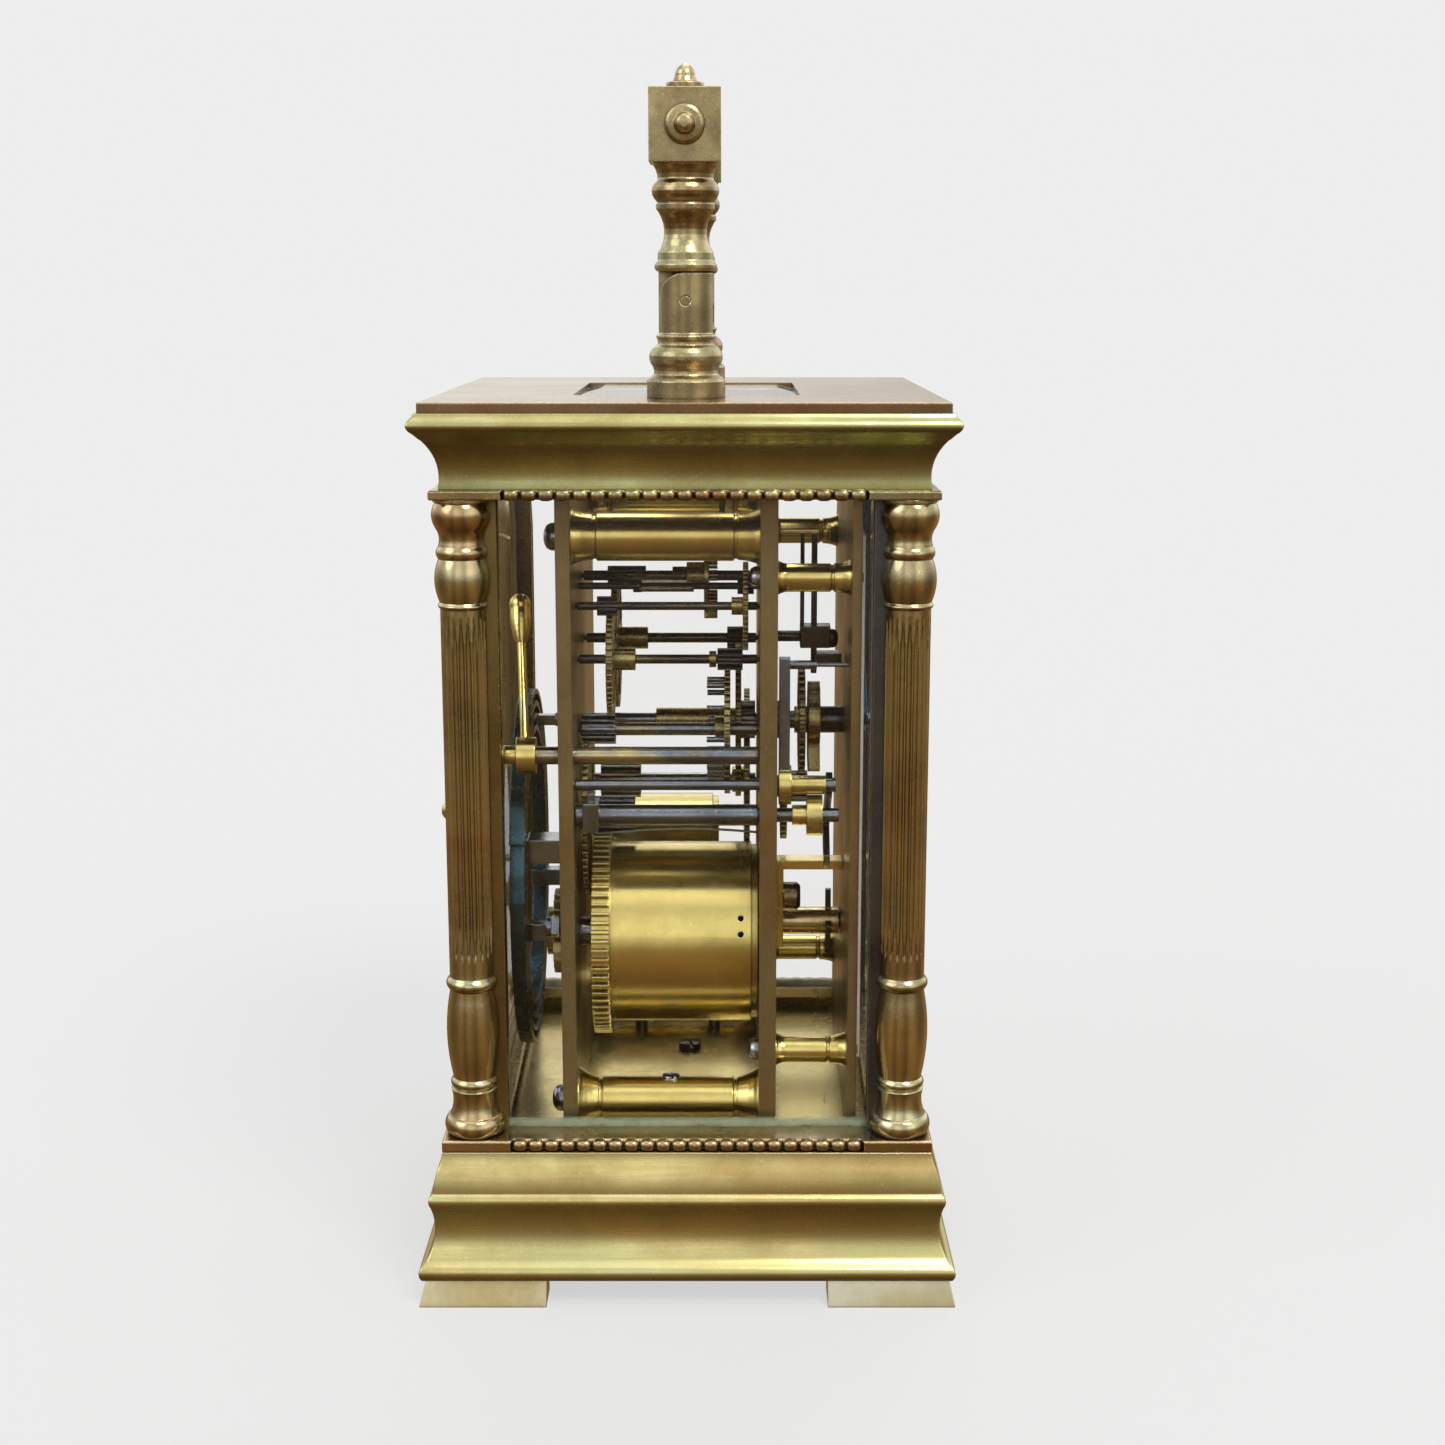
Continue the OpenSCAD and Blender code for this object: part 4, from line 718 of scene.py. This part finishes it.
def column_profile(height):
    """Points of (radius, height) up a column: turned foot, shaft with rows for its flutes, turned head."""
    foot = outline((POLE, 0), (4.5, 0), (4.5, 3.2, 0.6), (4.2, 3.3), (3.9, 7.9, -0.42), (3.5, 8.2),
                   (3.5, 9.9, 0.45), (3.5, 10.1), (3.7, 25.2, 0.8), (3.7, 25.4), (3.7, 27.6, 0.6),
                   (SHAFT_RADIUS, 27.7), (SHAFT_RADIUS, SHAFT_LOW))
    head = outline((SHAFT_RADIUS, height - SHAFT_HIGH), (3.85, height - 17.6), (3.85, height - 16.9, 0.2),
                   (3.75, height - 16.7), (3.8, height - 9.7, 0.72), (3.75, height - 7.7, 0.4),
                   (3.75, height - 7.5), (4.2, height - 4.7, -0.35), (4.2, height - 0.7, 0.55),
                   (4.5, height - 0.5), (4.5, height), (POLE, height))
    tips = [FLUTE_TIP * (i / (FLUTE_TIP_ROWS - 1)) ** 1.5 for i in range(FLUTE_TIP_ROWS)]
    rows = [FLUTE_LOW + tip for tip in tips] + [FLUTE_HIGH - tip for tip in reversed(tips)]
    return foot + [(SHAFT_RADIUS, row) for row in rows] + head


def flute_cut(across, along):
    """Depth of a flute at a place across it, in shares of the pitch; it runs out to a point at both ends."""
    if not FLUTE_LOW < along < FLUTE_HIGH:
        return 0
    full = min(1, (along - FLUTE_LOW) / FLUTE_TIP, (FLUTE_HIGH - along) / FLUTE_TIP)
    hollow = math.sqrt(max(0, 1 - (across / (FLUTE_HALF * full ** 0.8)) ** 2))
    return FLUTE_DEPTH * hollow * full ** 0.4


def column(place, profile):
    """One fluted column standing on place."""
    rings = []
    for radius, along in profile:
        ring = []
        for number in range(FLUTES):
            for step in FLUTE_STEPS:
                turn = 2 * math.pi * (number + step) / FLUTES
                r = radius - flute_cut(step, along)
                ring.append(stand(place, "Z", r * math.cos(turn), r * math.sin(turn), along))
        rings.append(ring)
    return strip(rings, capped=True)


def make_columns():
    """Four turned columns with fluted shafts, each with the square post that holds the glass."""
    low, high = span("columns")
    centre_x = high.x - COLUMN_RADIUS - COLUMN_INSET
    centre_y = high.y - COLUMN_RADIUS - COLUMN_INSET
    profile = column_profile(high.z - low.z)
    shafts = [column((side_x * centre_x, side_y * centre_y, low.z), profile) for side_x, side_y in CORNERS]
    piece("fluted_columns", shafts, "case", "copper_patina", COLUMN_METAL, replaces=("columns",),
          sharp=TURNED_ANGLE)

    side_high = span("side_glasses")[1]
    inner, outer = side_high.x - GLASS_T - SLOT_FIT, side_high.x + SLOT_FIT
    end = side_high.y + SLOT_FIT
    front_low, front_high = span("front_glass")
    face, back = -front_low.y + SLOT_FIT, -front_high.y - SLOT_FIT
    reach = front_high.x + SLOT_FIT
    wall_x, wall_y = inner - POST_WALL, end - SLOT_DEPTH
    side_slot = [(wall_x, wall_y), (inner, wall_y), (inner, end), (outer, end), (outer, wall_y),
                 (centre_x, wall_y), (centre_x, centre_y), (wall_x, centre_y)]
    front_slot = [(wall_x, face), (reach, face), (reach, back), (wall_x, back)]
    for name, side_y, points, finish in (("glass_posts_front", -1, side_slot + front_slot, SLATE_METAL),
                                         ("glass_posts_back", 1, side_slot, POST_METAL)):
        posts = []
        for side_x in (-1, 1):
            posts.append(prism([(side_x * x, side_y * y) for x, y in points], low.z, high.z))
        piece(name, posts, "case", "copper_patina", finish)


# ---------------------------------------------------------------- bead bands and mouldings

# Half width and half depth of the open wells
BAND_WELL, BASE_WELL, CORNICE_WELL = (37.4, 31), (43, 38), (39, 34.5)

# Corner blocks and beads; BEAD_FILL is half the length of a bead in shares of the pitch
BLOCK_LENGTH, BLOCK_STEP = 11.7, 0.3
BAND_SOFT = 0.22
BEAD_SET_BACK = 1.15
BEAD_HALF, BEAD_FILL = 0.97, 0.48
LOWER_PITCH, UPPER_PITCH = 2.70, 2.78


def beaded_band(name, node, bead_pitch, slot):
    """Band with plain blocks at the corners and a row of beads along each side."""
    low, high = span(node)
    stop_x, stop_y = high.x - BLOCK_LENGTH, high.y - BLOCK_LENGTH
    outer, inner = [], []
    for side_x, side_y in CORNERS:
        x, y = side_x * high.x, side_y * high.y
        well_x, well_y = side_x * BAND_WELL[0], side_y * BAND_WELL[1]
        block = [(side_x * (high.x - BEAD_SET_BACK), side_y * stop_y), (x, side_y * (stop_y + BLOCK_STEP)),
                 (x, y), (side_x * (stop_x + BLOCK_STEP), y),
                 (side_x * stop_x, side_y * (high.y - BEAD_SET_BACK))]
        hole = [(well_x, side_y * (stop_y - BLOCK_STEP)), (well_x, side_y * stop_y), (well_x, well_y),
                (side_x * stop_x, well_y), (side_x * (stop_x - BLOCK_STEP), well_y)]
        if side_x * side_y < 0:
            block.reverse()
            hole.reverse()
        outer += block
        inner += hole
    soft = [(x - math.copysign(BAND_SOFT, x), y - math.copysign(BAND_SOFT, y)) for x, y in outer]
    levels = [(outer, low.z + BAND_SOFT), (outer, high.z - BAND_SOFT), (soft, high.z),
              (inner, high.z), (inner, low.z), (soft, low.z)]
    parts = [strip([[(x, y, z) for x, y in points] for points, z in levels], closed=True)]
    for room, set_out, along_x in ((2 * stop_y, high.x, False), (2 * stop_x, high.y, True)):
        count = round(room / bead_pitch)
        pitch = room / count
        for side in (-1, 1):
            for i in range(count):
                place = (side * (set_out - BEAD_SET_BACK), (i + 0.5) * pitch - room / 2, (low.z + high.z) / 2)
                size = (BEAD_SET_BACK, pitch * BEAD_FILL, BEAD_HALF)
                if along_x:
                    place, size = (place[1], place[0], place[2]), (size[1], size[0], size[2])
                parts.append(ball(place, size))
    piece(name, parts, "case", slot, replaces=(node,), sharp=TURNED_ANGLE)


def moulding(name, node, profile, well, finish=None):
    """One smooth mitred moulding round an open well, from a profile of (half depth, z)."""
    low, high = span(node)
    wider = high.x - high.y
    rings = [(depth + wider, depth, z) for depth, z in profile] + [(*well, high.z), (*well, low.z)]
    piece(name, [mitred(rings)], "case", "moulded_brass", finish, replaces=(node,))


def make_mouldings():
    """Base with a hollow and a round above it, and a cornice that hollows out to its lip."""
    low, high = span("base_moulding")
    foot = low.z
    moulding("moulded_base", "base_moulding", outline(
        (44.75, foot), (44.6, foot + 2.5, 0.45), (44.0, foot + 2.9), (42.75, foot + 11, -0.75),
        (43.1, foot + 12.3), (43.1, foot + 14.3, 0.3), (42.75, foot + 14.6), (41.9, foot + 18.6, 0.12),
        (41.1, high.z, -0.1)), BASE_WELL)
    low, high = span("cornice")
    foot, lip = low.z, high.y
    moulding("moulded_cornice", "cornice", outline(
        (lip - 4.35, foot), (lip - 4.35, foot + 0.3), (lip - 2.1, foot + 7.9, -0.95), (lip - 1.8, foot + 8.1),
        (lip - 1.0, foot + 8.9), (lip - 0.9, foot + 11.6, 0.95), (lip - 1.1, high.z)),
        CORNICE_WELL, CORNICE_METAL)


make_columns()
beaded_band("beaded_band_lower", "lower_bead_band", LOWER_PITCH, "copper_patina")
beaded_band("beaded_band_upper", "upper_bead_band", UPPER_PITCH, "handle_brass")
make_mouldings()


# ---------------------------------------------------------------- glass

GROUND_RIM = 1.6

# Single panes: name, node, body, the axis and side that the bevel faces, bevel width, bevel depth
PANES = [
    ("front_pane", "front_glass", "case", 1, -1, PANE_BEVEL, PANE_DROP),
    ("top_pane", "top_glass", "case", 2, 1, 3.2, 0.7),
    ("door_pane", "door_glass", "rear_door", 1, 1, PANE_BEVEL, 0.4),
]


def make_panes():
    """Bevelled panes for the sides, the front, the top and the door."""
    low, high = span("side_glasses")
    sides = [pane((high.x - GLASS_T, low.y, low.z), high, 0, 1),
             pane(low, (low.x + GLASS_T, high.y, high.z), 0, -1)]
    ground = glass("side_glass", low.z + GROUND_RIM)
    piece("side_panes", sides, "case", "clear_glass", ground, replaces=("side_glasses",))
    for name, node, body, axis, side, bevel, drop in PANES:
        low, high = span(node)
        piece(name, [pane(low, high, axis, side, bevel, drop)], body, "clear_glass", replaces=(node,))


make_panes()


# ---------------------------------------------------------------- dial

ROMAN = ["XII", "I", "II", "III", "IIII", "V", "VI", "VII", "VIII", "IX", "X", "XI"]
LETTER_WIDTH = {"I": 1.25, "V": 2.7, "X": 2.7}
LETTER_SIDE = 0.45
NUMERAL_FOOT, NUMERAL_TOP = 16.3, 21.3
THICK, THIN = 0.72, 0.3
SERIF_WIDTH, SERIF_DEPTH = 1.2, 0.2
STROKE_DEPTH, STROKE_SINK = 0.05, 0.03
LINE = 0.15
TRACK_IN, TRACK_OUT = 22.5, 23.7
MINUTE_WIDTH, FIVE_WIDTH = 0.14, 0.45
ALARM_OUT, ALARM_LINE = 9.8, 0.2
ALARM_LONG, ALARM_SHORT, ALARM_WIDTH = 7.6, 8.6, 0.32


def stroke(start, end, width):
    """Four corners of a straight stroke, its ends level with the foot and top of the letter."""
    half = width / 2
    return [(start[0] - half, start[1]), (start[0] + half, start[1]),
            (end[0] + half, end[1]), (end[0] - half, end[1])]


def letter(kind, x):
    """Strokes of one Roman letter from x on, with small serifs."""
    foot, top = NUMERAL_FOOT, NUMERAL_TOP
    width = LETTER_WIDTH[kind]
    left, mid, right = x + LETTER_SIDE, x + width / 2, x + width - LETTER_SIDE
    strokes = {"I": [((mid, foot), (mid, top), THICK)],
               "V": [((mid, foot), (left, top), THICK), ((mid, foot), (right, top), THIN)],
               "X": [((right, foot), (left, top), THICK), ((left, foot), (right, top), THIN)]}[kind]
    ends = {"I": [(mid, foot), (mid, top)],
            "V": [(left, top), (right, top)],
            "X": [(left, foot), (right, foot), (left, top), (right, top)]}[kind]
    shapes = [stroke(*line) for line in strokes]
    for end_x, end_y in ends:
        inward = SERIF_DEPTH if end_y == foot else -SERIF_DEPTH
        shapes.append(stroke((end_x, end_y), (end_x, end_y + inward), SERIF_WIDTH))
    return shapes


def around(shape, centre, angle):
    """Outline drawn upright about the centre, turned clockwise seen from the front."""
    a = -math.radians(angle)
    return [(centre[0] + x * math.cos(a) - y * math.sin(a), centre[1] + x * math.sin(a) + y * math.cos(a))
            for x, y in shape]


def make_dial_marks():
    """Generic Roman hours, a minute track and a small setting dial, as raised fired lines."""
    face = span("dial")[0].y
    back, front = face + STROKE_SINK, face - STROKE_DEPTH
    shapes = []
    for hour, numeral in enumerate(ROMAN):
        x = -sum(LETTER_WIDTH[c] for c in numeral) / 2
        for c in numeral:
            shapes += [around(shape, DIAL_CENTRE, hour * 30) for shape in letter(c, x)]
            x += LETTER_WIDTH[c]
    for minute in range(60):
        width = FIVE_WIDTH if minute % 5 == 0 else MINUTE_WIDTH
        shapes.append(around(stroke((0, TRACK_IN), (0, TRACK_OUT), width), DIAL_CENTRE, minute * 6))
    for step in range(12):
        inner = ALARM_LONG if step % 3 == 0 else ALARM_SHORT
        shapes.append(around(stroke((0, inner), (0, ALARM_OUT), ALARM_WIDTH), ALARM_CENTRE, step * 30))
    parts = [plate_y(shape, back, front) for shape in shapes]
    parts.append(ring_y(DIAL_CENTRE, TRACK_IN - LINE, TRACK_IN, back, front))
    parts.append(ring_y(DIAL_CENTRE, TRACK_OUT, TRACK_OUT + LINE, back, front))
    parts.append(ring_y(ALARM_CENTRE, ALARM_OUT, ALARM_OUT + ALARM_LINE, back, front))
    piece("dial_marks", parts, "case", "enamel", MARKS)


make_dial_marks()


# ---------------------------------------------------------------- small parts of the movement

SPRING_COILS, SPRING_STEPS = 8, 30
SPRING_INNER, SPRING_OUTER = 0.9, 4.2
SPRING_DROP, SPRING_WIRE = 2.1, 0.07
WIRE_X, WIRE_Z, WIRE_INSET = -20, 74.4, 1.2
WIRE_ARCH, WIRE_FALL, WIRE_STEPS = 1.4, 0.5, 24
WIRE_RADIUS = 0.22

# Where the pillars stand across, the radii of their flared ends and of the lower ones' bodies
PILLAR_X = 30
LOW_FLARE, TOP_FLARE, DIAL_FLARE = 5.6, 4.7, 3.0
LOW_BODY = 3.8
SCREW_SINK = 0.25
PLATFORM_SCREW_X = 16
DETENT_X = -12


def make_balance_spring():
    """Flat blued spiral above the balance, under the cock."""
    level = span("balance_cock")[1].z - SPRING_DROP
    count = SPRING_COILS * SPRING_STEPS
    path = []
    for i in range(count + 1):
        angle = 2 * math.pi * i / SPRING_STEPS
        radius = SPRING_INNER + (SPRING_OUTER - SPRING_INNER) * i / count
        path.append((radius * math.cos(angle), BALANCE_Y + radius * math.sin(angle), level))
    piece("balance_spring", [tube(path, SPRING_WIRE, sides=5)], "case", "blued_steel")


def make_return_spring():
    """Arched wire between the plates, above the strike barrel."""
    back, front = span("back_plate")[0].y, span("front_plate")[1].y
    path = []
    for i in range(WIRE_STEPS + 1):
        t = i / WIRE_STEPS
        path.append((WIRE_X, back - WIRE_INSET - t * (back - front - WIRE_INSET),
                     WIRE_Z + WIRE_ARCH * math.sin(2.4 * t) - WIRE_FALL * t))
    piece("return_spring", [tube(path, WIRE_RADIUS, sides=8)], "case", "grey_steel")


def make_screws():
    """Slotted heads on the platform, the cock, the plates, the lower pillars and the floor."""
    front, back = span("front_plate"), span("back_plate")
    cock_top = span("balance_cock")[1].z
    parts = screw((0, back[0].y + 0.8, cock_top), "Z", radius=1.5, tall=0.8, slot=0.35)
    for x in (-PLATFORM_SCREW_X, PLATFORM_SCREW_X):
        for y in (front[1].y - 1, back[0].y + 1):
            parts += screw((x, y, DECK), "Z", radius=1.5, tall=0.9, slot=0.35)
    piece("platform_screws", parts, "case", "blued_steel", sharp=TURNED_ANGLE)

    pillars, dial_pillars = span("movement_pillars"), span("dial_pillars")
    low_z, high_z = pillars[0].z + LOW_FLARE, pillars[1].z - TOP_FLARE
    rivet = [(POLE, 0), (1.0, 0), (0.8, 0.12), (POLE, 0.12)]
    parts = []
    for x in (-PILLAR_X, PILLAR_X):
        for z in (low_z, high_z):
            behind = (x, back[1].y, z)
            parts += screw(behind, "Y", radius=2.3, tall=2.2, slot=0.45, slot_turn=0.9, crown=DOMED)
            parts.append(turned(rivet, (x, front[0].y, z), "-Y", segments=24))
        for z in (dial_pillars[0].z + DIAL_FLARE, dial_pillars[1].z - DIAL_FLARE):
            inside_front = (x, front[1].y, z)
            parts += screw(inside_front, "Y", radius=1.9, tall=1.9, slot=0.4, slot_turn=0.5, crown=DOMED)
        on_pillar = (x, 3, low_z + LOW_BODY - SCREW_SINK)
        parts += screw(on_pillar, "Z", radius=1.5, tall=0.8, slot=0.4, slot_turn=0.2)
    piece("plate_screw_heads", parts, "case", "grey_steel", SCREW_METAL, replaces=("plate_screws",),
          sharp=TURNED_ANGLE)

    on_floor = (13, 0.4, span("base_plate")[1].z)
    floor_screw = screw(on_floor, "Z", radius=2.1, tall=1.3, slot=0.6, slot_turn=0.2)
    piece("floor_screw", floor_screw, "case", "dark_steel", sharp=TURNED_ANGLE)


def make_detents():
    """Dark levers of the strike between the front plate and the dial."""
    x, y = DETENT_X, span("dial_pillars")[1].y
    parts = [turned([(POLE, 0), (0.95, 0), (0.95, 4.6), (POLE, 4.6)], (x, y, 108), "-Y", segments=20),
             box((x - 2, y - 9.4, 106.2), (x + 2, y - 4.2, 110)),
             box((x - 0.6, y - 4.9, 110), (x + 0.6, y - 4.2, 126)),
             box((x - 0.6, y - 7.1, 101.5), (x + 0.6, y - 6.1, 126)),
             box((x - 1, y - 11.4, 103), (x + 3, y - 6.6, 105)),
             ball((x, y - 9.6, 107.6), (1.6, 1.2, 1.6))]
    piece("detent_levers", parts, "case", "dark_steel", bevel=0.12)


make_balance_spring()
make_return_spring()
make_screws()
make_detents()
